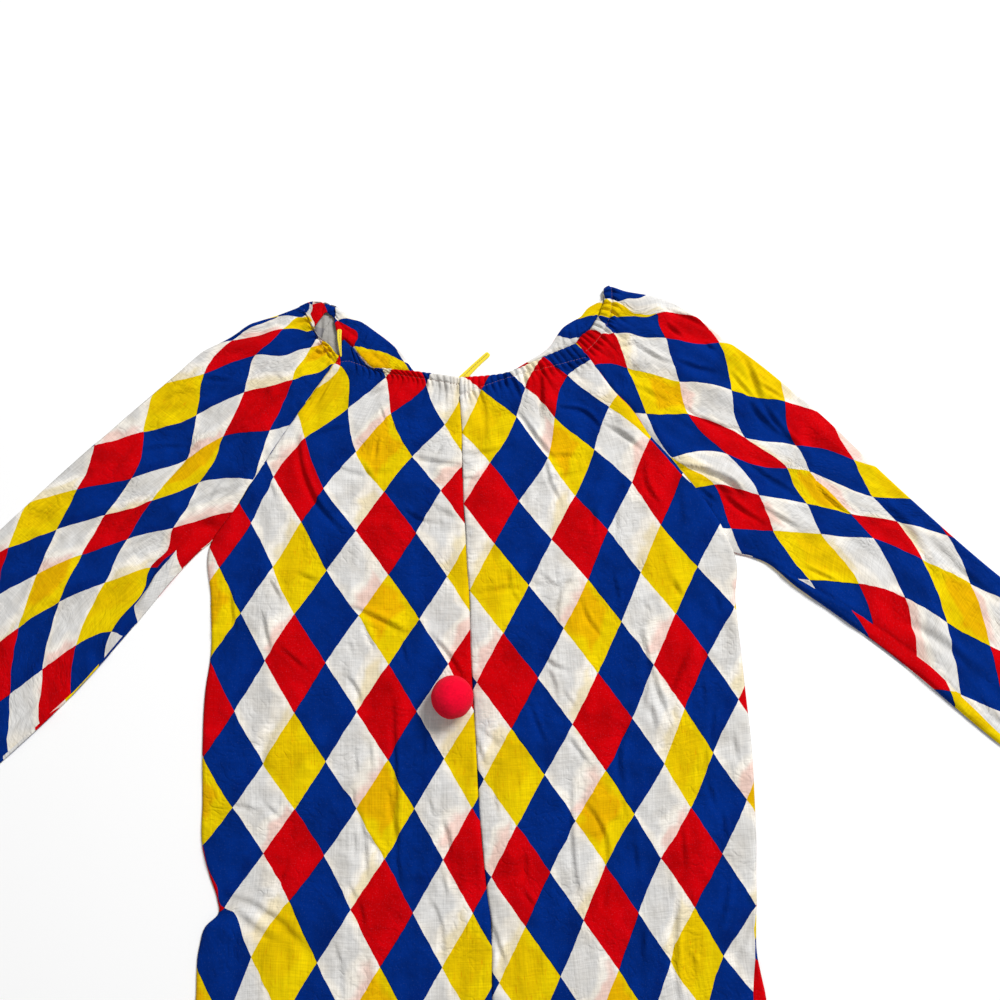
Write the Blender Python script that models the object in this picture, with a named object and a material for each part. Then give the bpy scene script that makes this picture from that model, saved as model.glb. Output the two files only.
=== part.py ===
"""A clown jumpsuit laid flat on its back: cloth walls for the fronts, backs and raglan sleeves, two tape ties and
a pompom. Lengths in the tables are millimetres, measured from a point on the chest: x to the right, y towards the
neck. Left and right are as seen from above. The model's own frame is centred under the garment."""

import math

import bpy
from mathutils import Vector

MM = 0.001
FRAME_CENTRE = (-11.0, -340.0)   # middle of the garment's box, from the point on the chest

# cloth and how its layers lie
CLOTH = 1.2             # one layer
GAP = 0.3               # clear between two pieces, or between two layers of one piece
SEAM_SHORT = 0.25       # each piece stops this far short of a seam line
FRONT_Z = CLOTH + GAP   # underside of the front layer, where the back layer lies flat
FLAP_Z = CLOTH + GAP    # underside of a corner that is turned forward
ROLL = CLOTH + GAP / 2  # outer radius of a turned edge
FOOT_SHARE = 0.15       # and how far along to the next row that is, on the front of the sleeve
ROLL_FOOT = 3.0         # from the tip of a turned edge to where its lower layer lies on the floor
HEM_EXTRA = 0.8         # the turned-in hem stands this much prouder
FOLD_UNDER = 0.75       # share of a fold's height that the wall's underside follows

# how finely the walls are cut up
PLAIN_COLUMNS = 12
SLEEVE_COLUMNS = 8

PRINT_BLUE = (0.0, 0.025, 0.216)
CRIMSON = (0.807, 0.0, 0.023)
TAPE_YELLOW = (0.93, 0.84, 0.08)

# Upper fronts. Each row runs from the centre seam out to the raglan seams.
# columns: name, seam x, y, left x, y, right x, y, lift under the row, gather height, columns
UPPER_FRONT = [
    ("neck edge",     -46, 296, -183, 321,  87, 337, 1.6, 1.1, 38),
    ("casing stitch", -46, 283, -191, 309,  95, 327, 1.6, 0.4, 38),
    ("gathers",       -45, 262, -205, 288, 109, 309, 1.6, 1.5, 38),
    ("gathers merge", -43, 232, -228, 253, 127, 282, 1.6, 1.2, 19),
    ("upper chest",   -42, 200, -248, 221, 147, 260, 1.2, 0.0, 12),
    ("chest",         -41, 170, -263, 195, 168, 228, 0.6, 0.0, 12),
    ("lower chest",   -40, 142, -279, 167, 196, 194, 0.2, 0.0, 12),
    ("armhole",       -38, 120, -294, 140, 227, 153, 0.0, 0.0, 12),
    ("armpit",        -37, 100, -315, 109, 255,  97, 0.0, 0.0, 12),
]
# points that the neck edge passes between the centre seam and each raglan seam
NECK_EDGE = {"left": [(-101, 304), (-150, 311)], "right": [(11, 303), (48, 320)]}

# Torso below the armpits. roll is how far the back's edge shows beside the front's.
# columns: name, y, left x, left roll, seam x, right x, right roll
TORSO = [
    ("ribs",         55, -312,  0, -33, 254, 0),
    ("upper waist",   5, -309,  0, -31, 256, 0),
    ("waist",       -45, -311,  0, -30, 259, 0),
    ("lower waist", -105, -310, 0, -25, 262, 0),
    ("hip",        -160, -306,  0, -22, 262, 0),
    ("low hip",    -205, -303,  0, -18, 260, 0),
    ("tuck start", -237, -292, 10, -15, 259, 2),
    ("tuck",       -264, -282, 19, -11, 257, 3),
    ("tuck end",   -290, -298,  4,  -9, 257, 6),
    ("seat",       -346, -299,  3,  -7, 262, 4),
    ("low seat",   -395, -300,  0,  -6, 265, 0),
    ("crotch",     -440, -301,  0,  -5, 268, 0),
]
# Legs. columns: name, y, left leg's outer x, inner x, right leg's inner x, outer x
LEGS = [
    ("leg top",     -462, -302,  -13,  4, 269),
    ("upper thigh", -520, -305,  -25, 16, 272),
    ("thigh",       -620, -311,  -42, 31, 278),
    ("knee",        -760, -319,  -65, 49, 287),
    ("calf",        -920, -326,  -89, 68, 295),
    ("hem stitch", -1070, -331, -109, 84, 302),
    ("hem edge",   -1090, -332, -112, 86, 303),
]

# Upper backs, down from the fold along which the neck corners are turned forward. Each row runs from the slit out.
# columns: name, slit x, y, left x, y, right x, y
UPPER_BACK = [
    ("turned fold", -46, 262, -190, 386, 121, 391),
    ("neck",        -46, 248, -197, 366, 132, 372),
    ("upper back",  -45, 228, -211, 331, 147, 340),
    ("shoulder",    -44, 204, -229, 290, 165, 303),
    ("blade",       -42, 178, -250, 242, 188, 258),
    ("mid back",    -41, 150, -271, 195, 213, 205),
    ("low back",    -39, 124, -294, 148, 237, 146),
    ("armpit",      -37, 100, -315, 109, 255,  97),
]
# points that the turned fold, and the turned corner's free edge, pass on their way out from the slit
TURNED_FOLD = {"left": [(-101, 306), (-121, 335), (-145, 352)], "right": [(49, 321), (73, 357), (96, 372)]}
TURNED_EDGE = {
    "left": [(-60, 246), (-115, 282), (-151, 311), (-170, 336), (-188, 364)],
    "right": [(-33, 246), (62, 297), (92, 330), (108, 352), (126, 371)],
}

# Sleeve heads, a row for each row of the upper front. fold is the sleeve's top edge as it lies.
# columns: name, fold x, y, bulge of the row towards the cuff, lift under the row, gather height, columns
SLEEVE_HEADS = {
    "left": [
        ("neck edge",     -216, 362, 1, 1.6, 1.1, 20),
        ("casing stitch", -234, 385, 3, 1.6, 0.4, 20),
        ("gathers",       -256, 373, 5, 1.9, 2.0, 20),
        ("gathers merge", -288, 361, 4, 2.0, 1.6, 10),
        ("shoulder",      -314, 343, 2, 1.6, 0.0, 8),
        ("upper sleeve",  -342, 327, 0, 1.2, 0.0, 8),
        ("sleeve",        -368, 302, 0, 0.8, 0.0, 8),
        ("lower sleeve",  -395, 276, 0, 0.4, 0.0, 8),
        ("armpit",        -424, 248, 0, 0.0, 0.0, 8),
    ],
    "right": [
        ("neck edge",      121, 405, 9, 1.6, 1.1, 20),
        ("casing stitch",  134, 410, 12, 1.6, 0.4, 20),
        ("gathers",        152, 403, 11, 1.9, 2.0, 20),
        ("gathers merge",  191, 392, 8, 2.0, 1.6, 10),
        ("shoulder",       220, 376, 4, 1.6, 0.0, 8),
        ("upper sleeve",   254, 347, 1, 1.2, 0.0, 8),
        ("sleeve",         292, 317, 0, 0.8, 0.0, 8),
        ("lower sleeve",   333, 280, 0, 0.4, 0.0, 8),
        ("armpit",         374, 241, 0, 0.0, 0.0, 8),
    ],
}
# Sleeves below the armpit. columns: name, underarm x, y, fold x, y
SLEEVE_ARMS = {
    "left": [
        ("underarm",  -347,   76, -458,  215),
        ("upper arm", -390,   20, -504,  168),
        ("elbow",     -448,  -52, -566,  102),
        ("forearm",   -535, -140, -645,    8),
        ("hem stitch", -613, -219, -709, -63),
        ("hem edge",  -627, -233, -723,  -78),
    ],
    "right": [
        ("underarm",  293,   83,  411,  201),
        ("upper arm", 352,   36,  456,  154),
        ("elbow",     432,  -26,  540,   72),
        ("forearm",   515, -100,  622,    5),
        ("hem stitch", 590, -160, 685,  -50),
        ("hem edge",  605, -173,  700,  -63),
    ],
}
# points that the back half of the sleeve's first two rows passes, from the sleeve's fold to the back seam
TURNED_CASING = {"left": [(-204, 374)], "right": []}
SLEEVE_CROWN = {"left": [(-221, 389), (-205, 390)], "right": [(127, 402)]}
CASING_BACK_END = {"left": (-190, 375), "right": (121, 397)}

# The largest folds, as soft ridges. columns: name, from x, y, to x, y, half width, height
FOLDS = {
    "front_left": [
        ("chest fold",   -218, 222, -187, 132, 14, 3.6),
        ("side pleat",   -248,  44, -247, -15, 11, 3.0),
        ("long fold",    -103, -50,  -99, -217, 13, 3.0),
        ("waist crease", -150,  29, -103,  18, 10, 2.2),
        ("hip fold",     -156, -236, -169, -300, 14, 2.6),
        ("knee fold",    -240, -700, -150, -780, 22, 3.0),
        ("shin fold",    -210, -930, -205, -1060, 18, 2.4),
    ],
    "front_right": [
        ("neck fold",     51, 287,  67, 222, 12, 3.2),
        ("raglan fold",  118, 276, 158, 226, 13, 3.4),
        ("waist fold",   213,   2, 190, -52, 12, 3.4),
        ("rib fold",     156, -50, 169, -85, 10, 2.4),
        ("hip fold",     205, -160, 192, -236, 13, 2.6),
        ("knee fold",    120, -690, 230, -770, 22, 3.0),
        ("shin fold",    190, -910, 196, -1050, 18, 2.4),
    ],
    "sleeve_left": [
        ("crown fold",   -231, 363, -304, 329, 13, 4.0),
        ("head fold",    -224, 335, -284, 287, 12, 3.6),
        ("front fold",   -229, 311, -308, 222, 12, 3.6),
        ("armpit fold",  -282, 165, -361, 115, 12, 4.0),
        ("under fold",   -330, 120, -372,  70, 11, 3.4),
        ("elbow fold",   -470,  90, -520, -20, 18, 3.4),
    ],
    "sleeve_right": [
        ("crown fold",    134, 391, 231, 354, 13, 4.0),
        ("head fold",     122, 354, 207, 341, 12, 3.6),
        ("front fold",    129, 329, 294, 257, 13, 3.6),
        ("top fold",      253, 335, 337, 234, 12, 3.2),
        ("armpit fold",   212, 199, 330, 132, 13, 4.0),
        ("under fold",    267,  88, 397,  23, 12, 3.4),
        ("elbow fold",    440,  90, 470, -20, 18, 3.4),
    ],
}

# pompom: a felt ball sewn on beside the centre seam
POMPOM = {"x": -49, "y": -56, "diameter": 44, "squash": 0.95, "rings": 10, "sides": 18, "lump": 0.5}

# Tape ties. The centre one starts at the turned fold of the left back and ends on the floor.
# columns: name, width, underside at the root, underside at the end, the points of the tape's middle line
TIES = [
    ("tie_centre", 7.0, 0.8, 0.0, [(-60.8, 276.8), (-50, 288), (-38, 301), (-24, 313), (-14, 321)]),
    ("tie_shoulder", 4.6, 1.5, 1.5, [(-187, 355), (-184, 343), (-182.5, 330)]),
]
TAPE = 1.1


def spread(points, count):
    """Evenly spaced points, count steps long, on a smooth curve through the given points."""
    points = [Vector(p).to_2d() for p in points]
    if len(points) == 2:
        return [points[0].lerp(points[1], i / count) for i in range(count + 1)]
    ends = [2 * points[0] - points[1]] + points + [2 * points[-1] - points[-2]]
    fine = []
    for a, b, c, d in zip(ends, ends[1:], ends[2:], ends[3:]):
        for step in range(12):
            t = step / 12
            fine.append(0.5 * (2 * b + (c - a) * t + (2 * a - 5 * b + 4 * c - d) * t * t
                               + (3 * b - a - 3 * c + d) * t ** 3))
    fine.append(points[-1])
    lengths = [0.0]
    for a, b in zip(fine, fine[1:]):
        lengths.append(lengths[-1] + (b - a).length)
    result = []
    segment = 0
    for i in range(count + 1):
        wanted = lengths[-1] * i / count
        while segment < len(fine) - 2 and lengths[segment + 1] < wanted:
            segment += 1
        share = (wanted - lengths[segment]) / (lengths[segment + 1] - lengths[segment])
        result.append(fine[segment].lerp(fine[segment + 1], min(max(share, 0.0), 1.0)))
    return result


def shorten(row, at_start=SEAM_SHORT, at_end=SEAM_SHORT):
    """The row with its ends drawn back from the seam lines."""
    row = list(row)
    row[0] = row[0] + (row[1] - row[0]).normalized() * at_start
    row[-1] = row[-1] + (row[-2] - row[-1]).normalized() * at_end
    return row


def bulged(start, end, bulge, side, count):
    """A row from start to end that bows towards the cuff."""
    start, end = Vector(start), Vector(end)
    across = (end - start).normalized()
    towards_cuff = Vector((across.y, -across.x)) * (1 if side == "right" else -1)
    row = spread([start, end], count)
    return [p + towards_cuff * bulge * 4 * (i / count) * (1 - i / count) for i, p in enumerate(row)]


def fold_height(node, point):
    """How far the largest folds raise a panel at a point."""
    height = 0.0
    for _, x0, y0, x1, y1, width, tall in FOLDS[node]:
        start, end = Vector((x0, y0)), Vector((x1, y1))
        along = end - start
        share = min(max((point - start).dot(along) / along.length_squared, 0.0), 1.0)
        distance = (point - start - along * share).length
        taper = 0.35 + 0.65 * math.sin(math.pi * (0.15 + 0.7 * share))
        height = max(height, tall * taper * math.exp(-(distance / width) ** 2))
    return height


def raised(node, row, base, wave=0.0, extra=0.0):
    """The outer side of a front row: base height, cloth, folds and, at every other point, a gather."""
    return [Vector((p.x, p.y, base + CLOTH + extra + fold_height(node, p) + (wave if i % 2 else 0.0)))
            for i, p in enumerate(row)]


def under(node, row, base):
    """The inner side of a front row, which follows the folds only in part."""
    return [Vector((p.x, p.y, base + FOLD_UNDER * fold_height(node, p))) for p in row]


def flat(row, z):
    return [Vector((p.x, p.y, z)) for p in row]


def bridge(faces, row_a, row_b):
    """Triangles between two rows of vertex numbers, which may differ in length."""
    i = j = 0
    while i < len(row_a) - 1 or j < len(row_b) - 1:
        next_a = (i + 1) / (len(row_a) - 1)
        next_b = (j + 1) / (len(row_b) - 1)
        if j == len(row_b) - 1 or (i < len(row_a) - 1 and next_a <= next_b):
            faces.append((row_a[i], row_a[i + 1], row_b[j]))
            i += 1
        else:
            faces.append((row_a[i], row_b[j + 1], row_b[j]))
            j += 1


def wall(name, outer_rows, inner_rows, colour):
    """A closed wall of cloth: an outer sheet, an inner sheet and the four edges between them. A row is a list of
    stretches, and rows are joined stretch by stretch."""
    points = []
    faces = []

    def number(rows):
        numbered = []
        for stretches in rows:
            row = []
            for stretch in stretches:
                new = list(range(len(points), len(points) + len(stretch)))
                row.append(row[-1][-1:] + new if row else new)
                points.extend(stretch)
            numbered.append(row)
        return numbered

    outer, inner = number(outer_rows), number(inner_rows)
    pairs = list(zip(outer, outer[1:])) + list(zip(inner, inner[1:]))
    pairs += [(outer[0], inner[0]), (outer[-1], inner[-1])]
    for row_a, row_b in pairs:
        for stretch_a, stretch_b in zip(row_a, row_b):
            bridge(faces, stretch_a, stretch_b)
    bridge(faces, [row[0][0] for row in outer], [row[0][0] for row in inner])
    bridge(faces, [row[-1][-1] for row in outer], [row[-1][-1] for row in inner])
    return solid(name, points, faces, colour)


def solid(name, points, faces, colour, smooth=True):
    """A mesh object from points in millimetres, with its faces pointing out."""
    mesh = bpy.data.meshes.new(name)
    centre = Vector((*FRAME_CENTRE, 0.0))
    mesh.from_pydata([(p - centre) * MM for p in points], [], faces)
    obj = bpy.data.objects.new(name, mesh)
    bpy.context.collection.objects.link(obj)
    bpy.context.view_layer.objects.active = obj
    obj.select_set(True)
    bpy.ops.object.mode_set(mode="EDIT")
    bpy.ops.mesh.select_all(action="SELECT")
    bpy.ops.mesh.normals_make_consistent(inside=False)
    bpy.ops.object.mode_set(mode="OBJECT")
    obj.select_set(False)
    mesh.materials.append(material(name, colour))
    if smooth:
        mesh.shade_smooth()
        mesh.set_sharp_from_angle(angle=math.radians(35))
    return obj


def material(name, colour, roughness=0.85):
    made = bpy.data.materials.new(name + "_finish")
    made.use_nodes = True
    shader = made.node_tree.nodes["Principled BSDF"]
    shader.inputs["Base Color"].default_value = (*colour, 1.0)
    shader.inputs["Roughness"].default_value = roughness
    shader.inputs["Metallic"].default_value = 0.0
    return made


def torso_and_leg(side, layer):
    """Plan rows of one panel from below the armpit to the hem: (seam point, outer point, hem)."""
    rows = []
    for _, y, left_x, left_roll, seam_x, right_x, right_roll in TORSO:
        roll_left, roll_right = (left_roll, right_roll) if layer == "back" else (0, 0)
        outer_x = left_x - roll_left if side == "left" else right_x + roll_right
        rows.append(((seam_x, y), (outer_x, y), False))
    for name, y, left_outer, left_inner, right_inner, right_outer in LEGS:
        inner_x, outer_x = (left_inner, left_outer) if side == "left" else (right_inner, right_outer)
        rows.append(((inner_x, y), (outer_x, y), name.startswith("hem")))
    return rows


def turned(fold, side):
    """For cloth turned over along a fold line: the fold's outer side, and where the layer below reaches the floor.
    At a seam the fold moves along y only, so that it stays on its own side."""
    tip, foot = [], []
    for i, point in enumerate(fold):
        inwards = Vector((0.0, -1.0))
        if 0 < i < len(fold) - 1:
            run = fold[i + 1] - fold[i - 1]
            inwards = Vector((run.y, -run.x)).normalized() * (-1 if side == "left" else 1)
        tip.append(point - inwards * ROLL)
        foot.append(point + inwards * ROLL_FOOT)
    return tip, foot


def front(side):
    """One front, from the gathered neck edge to the leg's hem."""
    node = "front_" + side
    outer_rows, inner_rows = [], []
    for name, seam_x, seam_y, left_x, left_y, right_x, right_y, lift, wave, columns in UPPER_FRONT:
        end = (left_x, left_y) if side == "left" else (right_x, right_y)
        passing = NECK_EDGE[side] if name == "neck edge" else []
        path = [(seam_x, seam_y), *passing, end]
        outer_rows.append([raised(node, shorten(spread(path, columns)), FRONT_Z + lift, wave)])
        inner_rows.append([under(node, shorten(spread(path, PLAIN_COLUMNS)), FRONT_Z + lift)])
    for start, end, hem in torso_and_leg(side, "front"):
        row = shorten(spread([start, end], PLAIN_COLUMNS))
        outer_rows.append([raised(node, row, FRONT_Z, extra=HEM_EXTRA if hem else 0.0)])
        inner_rows.append([under(node, row, FRONT_Z)])
    return wall(node, outer_rows, inner_rows, PRINT_BLUE)


def back(side):
    """One back: its neck corner turned forward over it, then flat on the floor to the leg's hem."""
    node = "back_" + side
    free_edge = shorten(spread(TURNED_EDGE[side], PLAIN_COLUMNS))
    _, slit_x, slit_y, left_x, left_y, right_x, right_y = UPPER_BACK[0]
    end = (left_x, left_y) if side == "left" else (right_x, right_y)
    fold = shorten(spread([(slit_x, slit_y), *TURNED_FOLD[side], end], PLAIN_COLUMNS))
    tip, foot = turned(fold, side)
    outer_rows = [[flat(free_edge, FLAP_Z + CLOTH)], [flat(tip, ROLL)], [flat(foot, 0.0)]]
    inner_rows = [[flat(free_edge, FLAP_Z)], [flat(fold, ROLL)], [flat(foot, CLOTH)]]
    plan = []
    for _, slit_x, slit_y, left_x, left_y, right_x, right_y in UPPER_BACK[1:]:
        plan.append(((slit_x, slit_y), (left_x, left_y) if side == "left" else (right_x, right_y)))
    plan += [(start, end) for start, end, _ in torso_and_leg(side, "back")]
    for start, end in plan:
        row = shorten(spread([start, end], PLAIN_COLUMNS))
        outer_rows.append([flat(row, 0.0)])
        inner_rows.append([flat(row, CLOTH)])
    return wall(node, outer_rows, inner_rows, PRINT_BLUE)


def sleeve_row(node, front_row, plain_row, back_row, base, wave, extra=0.0):
    """One turn of the sleeve's cloth, outer and inner side: over the front, round the top fold, back underneath."""
    tip = front_row[-1] + (front_row[-1] - front_row[-2]).normalized() * ROLL
    top = raised(node, front_row, base, wave, extra)
    outer = [top, [Vector((tip.x, tip.y, top[-1].z / 2))] + flat(back_row, 0.0)]
    return outer, [under(node, plain_row, base), flat(back_row, CLOTH)]


def sleeve(side):
    """One raglan sleeve, a single cloth folded over its top edge, from the gathered neck edge to the hem."""
    node = "sleeve_" + side
    rows = []
    pending_foot = None
    for number, (name, fold_x, fold_y, bulge, lift, wave, columns) in enumerate(SLEEVE_HEADS[side]):
        _, _, _, left_x, left_y, right_x, right_y, _, _, _ = UPPER_FRONT[number]
        front_end = (left_x, left_y) if side == "left" else (right_x, right_y)
        fold = (fold_x, fold_y)
        if number == 0:
            back_path = [fold, *TURNED_CASING[side], CASING_BACK_END[side]]
        else:
            _, _, _, left_x, left_y, right_x, right_y = UPPER_BACK[number - 1]
            crown = SLEEVE_CROWN[side] if number == 1 else []
            back_path = [fold, *crown, (left_x, left_y) if side == "left" else (right_x, right_y)]
        front_row = shorten(bulged(front_end, fold, bulge, side, columns), at_end=0.0)
        plain_row = shorten(bulged(front_end, fold, bulge, side, SLEEVE_COLUMNS), at_end=0.0)
        back_row = shorten(spread(back_path, SLEEVE_COLUMNS), at_start=ROLL)
        base = FRONT_Z + lift
        if number < 2 and side == "left":
            # the casing's back half is turned forward over the sleeve's crown
            top, below = raised(node, front_row, base, wave), under(node, plain_row, base)
            if number == 0:
                puckered = [Vector((p.x, p.y, FLAP_Z + CLOTH + (wave if i % 2 else 0.0)))
                            for i, p in enumerate(back_row)]
                rows.append(([top, puckered], [below, flat(back_row, FLAP_Z)]))
            else:
                tip, foot = turned(back_row, "right")
                rows.append(([top, flat(tip, ROLL)], [below, flat(back_row, ROLL)]))
                pending_foot = (front_row, plain_row, foot, wave)
        else:
            if pending_foot:
                # a row just past the turned casing, where the back half has reached the floor
                above, above_plain, foot, above_wave = pending_foot
                near = [p.lerp(q, FOOT_SHARE) for p, q in zip(above, front_row)]
                near_plain = [p.lerp(q, FOOT_SHARE) for p, q in zip(above_plain, plain_row)]
                rows.append(([raised(node, near, base, above_wave), flat(foot, 0.0)],
                             [under(node, near_plain, base), flat(foot, CLOTH)]))
                pending_foot = None
            rows.append(sleeve_row(node, front_row, plain_row, back_row, base, wave))
    for name, under_x, under_y, fold_x, fold_y in SLEEVE_ARMS[side]:
        front_row = shorten(spread([(under_x, under_y), (fold_x, fold_y)], SLEEVE_COLUMNS), at_end=0.0)
        back_row = shorten(spread([(fold_x, fold_y), (under_x, under_y)], SLEEVE_COLUMNS), at_start=ROLL)
        extra = HEM_EXTRA if name.startswith("hem") else 0.0
        rows.append(sleeve_row(node, front_row, front_row, back_row, FRONT_Z, 0.0, extra))
    return wall(node, [outer for outer, _ in rows], [inner for _, inner in rows], PRINT_BLUE)


def pompom():
    """A slightly lumpy felt ball that rests on the front beside the seam."""
    size = POMPOM
    radius = size["diameter"] / 2
    rest = FRONT_Z + CLOTH + GAP + fold_height("front_left", Vector((size["x"], size["y"])))
    centre = Vector((size["x"], size["y"], rest + radius * size["squash"]))
    points = [centre - Vector((0, 0, radius * size["squash"]))]
    faces = []
    for ring in range(1, size["rings"]):
        tilt = math.pi * ring / size["rings"]
        for side in range(size["sides"]):
            turn = math.tau * side / size["sides"]
            lump = radius + size["lump"] * math.sin(3 * turn + 2 * tilt) * math.sin(tilt)
            points.append(centre + Vector((lump * math.sin(tilt) * math.cos(turn),
                                           lump * math.sin(tilt) * math.sin(turn),
                                           -radius * size["squash"] * math.cos(tilt))))
    points.append(centre + Vector((0, 0, radius * size["squash"])))
    sides, top = size["sides"], len(points) - 1
    for side in range(sides):
        beside = (side + 1) % sides
        faces.append((0, 1 + beside, 1 + side))
        faces.append((top, top - sides + side, top - sides + beside))
        for ring in range(size["rings"] - 2):
            low = 1 + ring * sides
            faces.append((low + side, low + beside, low + sides + beside, low + sides + side))
    return solid("pompom", points, faces, CRIMSON)


def tie(name, width, root_z, end_z, middle):
    """A flat tape with a rounded free end."""
    steps = 8
    line = spread(middle, steps)
    outer_rows, inner_rows = [], []
    for i, point in enumerate(line):
        run = (line[min(i + 1, steps)] - line[max(i - 1, 0)]).normalized()
        across = Vector((-run.y, run.x))
        half = width / 2 * (0.55 if i == steps else 1.0)
        z = root_z + (end_z - root_z) * (i / steps)
        row = [point - across * half, point, point + across * half]
        outer_rows.append([flat(row, z + TAPE)])
        inner_rows.append([flat(row, z)])
    return wall(name, outer_rows, inner_rows, TAPE_YELLOW)


def main():
    for obj in list(bpy.data.objects):
        bpy.data.objects.remove(obj)
    for side in ("left", "right"):
        back(side)
        front(side)
        sleeve(side)
    pompom()
    for row in TIES:
        tie(*row)


main()
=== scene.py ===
# Clown jumpsuit laid flat on its back: the looks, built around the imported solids.
# Tables are in millimetres from a point on the chest, x to the right and y towards the neck, as it lies.
import math

import bpy
import numpy as np
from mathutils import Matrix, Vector, noise


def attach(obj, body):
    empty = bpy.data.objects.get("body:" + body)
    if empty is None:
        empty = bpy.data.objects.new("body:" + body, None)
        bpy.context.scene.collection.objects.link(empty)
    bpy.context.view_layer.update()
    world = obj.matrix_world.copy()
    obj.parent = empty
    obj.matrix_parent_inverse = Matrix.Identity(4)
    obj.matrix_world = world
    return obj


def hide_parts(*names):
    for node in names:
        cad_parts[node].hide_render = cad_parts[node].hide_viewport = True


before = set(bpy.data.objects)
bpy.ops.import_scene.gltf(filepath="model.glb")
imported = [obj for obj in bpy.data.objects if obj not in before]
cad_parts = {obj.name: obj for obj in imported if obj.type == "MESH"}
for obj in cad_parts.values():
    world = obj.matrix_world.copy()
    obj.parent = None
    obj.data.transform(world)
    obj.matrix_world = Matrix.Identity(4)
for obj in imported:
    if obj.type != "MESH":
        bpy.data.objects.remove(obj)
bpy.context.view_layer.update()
bpy.ops.object.select_all(action="DESELECT")

mm = 0.001
frameCentre = np.array([-11.0, -340.0, 0.0])    # middle of the garment's box, from the point on the chest
diamond = {"halfWidth": 30.9, "halfHeight": 48.15}    # half a printed diamond, on the flat cloth
clothThick = 0.5    # one layer of cotton


def throughPoints(knots, values, at):
    # a smooth line through values given at uneven knots
    knots, values, at = np.asarray(knots, float), np.asarray(values, float), np.asarray(at, float)
    flat = values.reshape(len(knots), -1)
    gap = np.diff(knots)[:, None]
    slope = np.diff(flat, axis=0) / gap
    tangent = np.empty_like(flat)
    tangent[0], tangent[-1] = slope[0], slope[-1]
    tangent[1:-1] = (slope[:-1] * gap[1:] + slope[1:] * gap[:-1]) / (gap[:-1] + gap[1:])
    i = np.clip(np.searchsorted(knots, at, side="right") - 1, 0, len(knots) - 2)
    h = (knots[i + 1] - knots[i])[:, None]
    t = ((at - knots[i]) / h[:, 0])[:, None]
    result = ((2 * t ** 3 - 3 * t ** 2 + 1) * flat[i] + (t ** 3 - 2 * t ** 2 + t) * h * tangent[i]
              + (3 * t ** 2 - 2 * t ** 3) * flat[i + 1] + (t ** 3 - t ** 2) * h * tangent[i + 1])
    return result.reshape((len(at),) + values.shape[1:])


def smoothPath(points, count):
    # count + 1 evenly spaced points on a smooth curve
    points = np.asarray(points, float)
    knots = np.r_[0, np.cumsum(np.linalg.norm(np.diff(points, axis=0), axis=1))]
    fine = throughPoints(knots, points, np.linspace(0, knots[-1], 240)) if len(points) > 2 else points
    length = np.r_[0, np.cumsum(np.linalg.norm(np.diff(fine, axis=0), axis=1))]
    wanted = np.linspace(0, length[-1], count + 1)
    return np.stack([np.interp(wanted, length, fine[:, k]) for k in range(fine.shape[1])], 1)


def steps(spacing, end):
    # positions along a piece, closer together where spacing says: (from, step)
    places, here = [0.0], 0.0
    while here < end:
        step = [s for start, s in spacing if here >= start][-1]
        here = min(here + step, end)
        places.append(here)
    if places[-1] - places[-2] < 0.3:
        places.pop(-2)
    return np.array(places)


def creaseField(x, y, creases):
    # soft ridges (height above 0) and troughs (below 0) along bowed lines with thin ends: x, y, x, y, bow,
    # width, height. A trough is narrower and has a low lip on its light side. The second result is how far
    # the creases draw the cloth in.
    total, drawn = np.zeros_like(x), np.zeros(x.shape + (2,))
    for x0, y0, x1, y1, bow, width, height in creases:
        run = np.array([x1 - x0, y1 - y0], float)
        length = np.hypot(*run)
        run /= length
        share = ((x - x0) * run[0] + (y - y0) * run[1]) / length
        side = -(x - x0) * run[1] + (y - y0) * run[0]
        inside = np.clip(share, 0, 1)
        light = 1 if run[0] > run[1] else -1
        across = light * (side - bow * 4 * inside * (1 - inside)) / (width * (0.8 if height < 0 else 1))
        past = (share - inside) * length / (1.5 * width)
        taper = np.sin(np.pi * (0.08 + 0.84 * inside)) ** 0.8 * np.exp(-past ** 2)
        lip = 0.55 * np.exp(-(across - 1.7) ** 2) if height < 0 else 0
        total += 1.2 * height * taper * (np.exp(-across ** 2) - lip)
        pull = 0.45 * abs(height) * taper * np.tanh(across) * np.exp(-(across / 3) ** 2) * light
        drawn += pull[..., None] * np.array([-run[1], run[0]])
    return total, drawn


# half width and height of each kind of crease
creaseKinds = {"slight": (2.3, -1.7), "fine": (3.0, -2.1), "sharp": (3.6, -2.9), "blunt": (4.4, -1.5),
               "deep": (4.2, -3.6), "broad": (8, -2.7)}


def sortCreases(own=(), **kinds):
    # creases of each kind: x, y, x, y, and the bow where there is one; own has creases with their own size
    return [(*crease[:4], crease[4] if len(crease) > 4 else 0, *creaseKinds[kind])
            for kind, creases in kinds.items() for crease in creases] + list(own)


def crumple(x, y, size, seed, sharp=False, turn=0, longer=1):
    # soft noise, or with sharp noise whose ridges are creased; turn and longer stretch it along a direction
    c, s = math.cos(math.radians(turn)), math.sin(math.radians(turn))
    first, second = (c * x + s * y) / (size * longer), (c * y - s * x) / size
    flat = [noise.noise((a, b, seed)) for a, b in zip(first.ravel(), second.ravel())]
    field = np.array(flat).reshape(x.shape)
    return 0.5 - np.abs(field) * 2 if sharp else field


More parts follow.
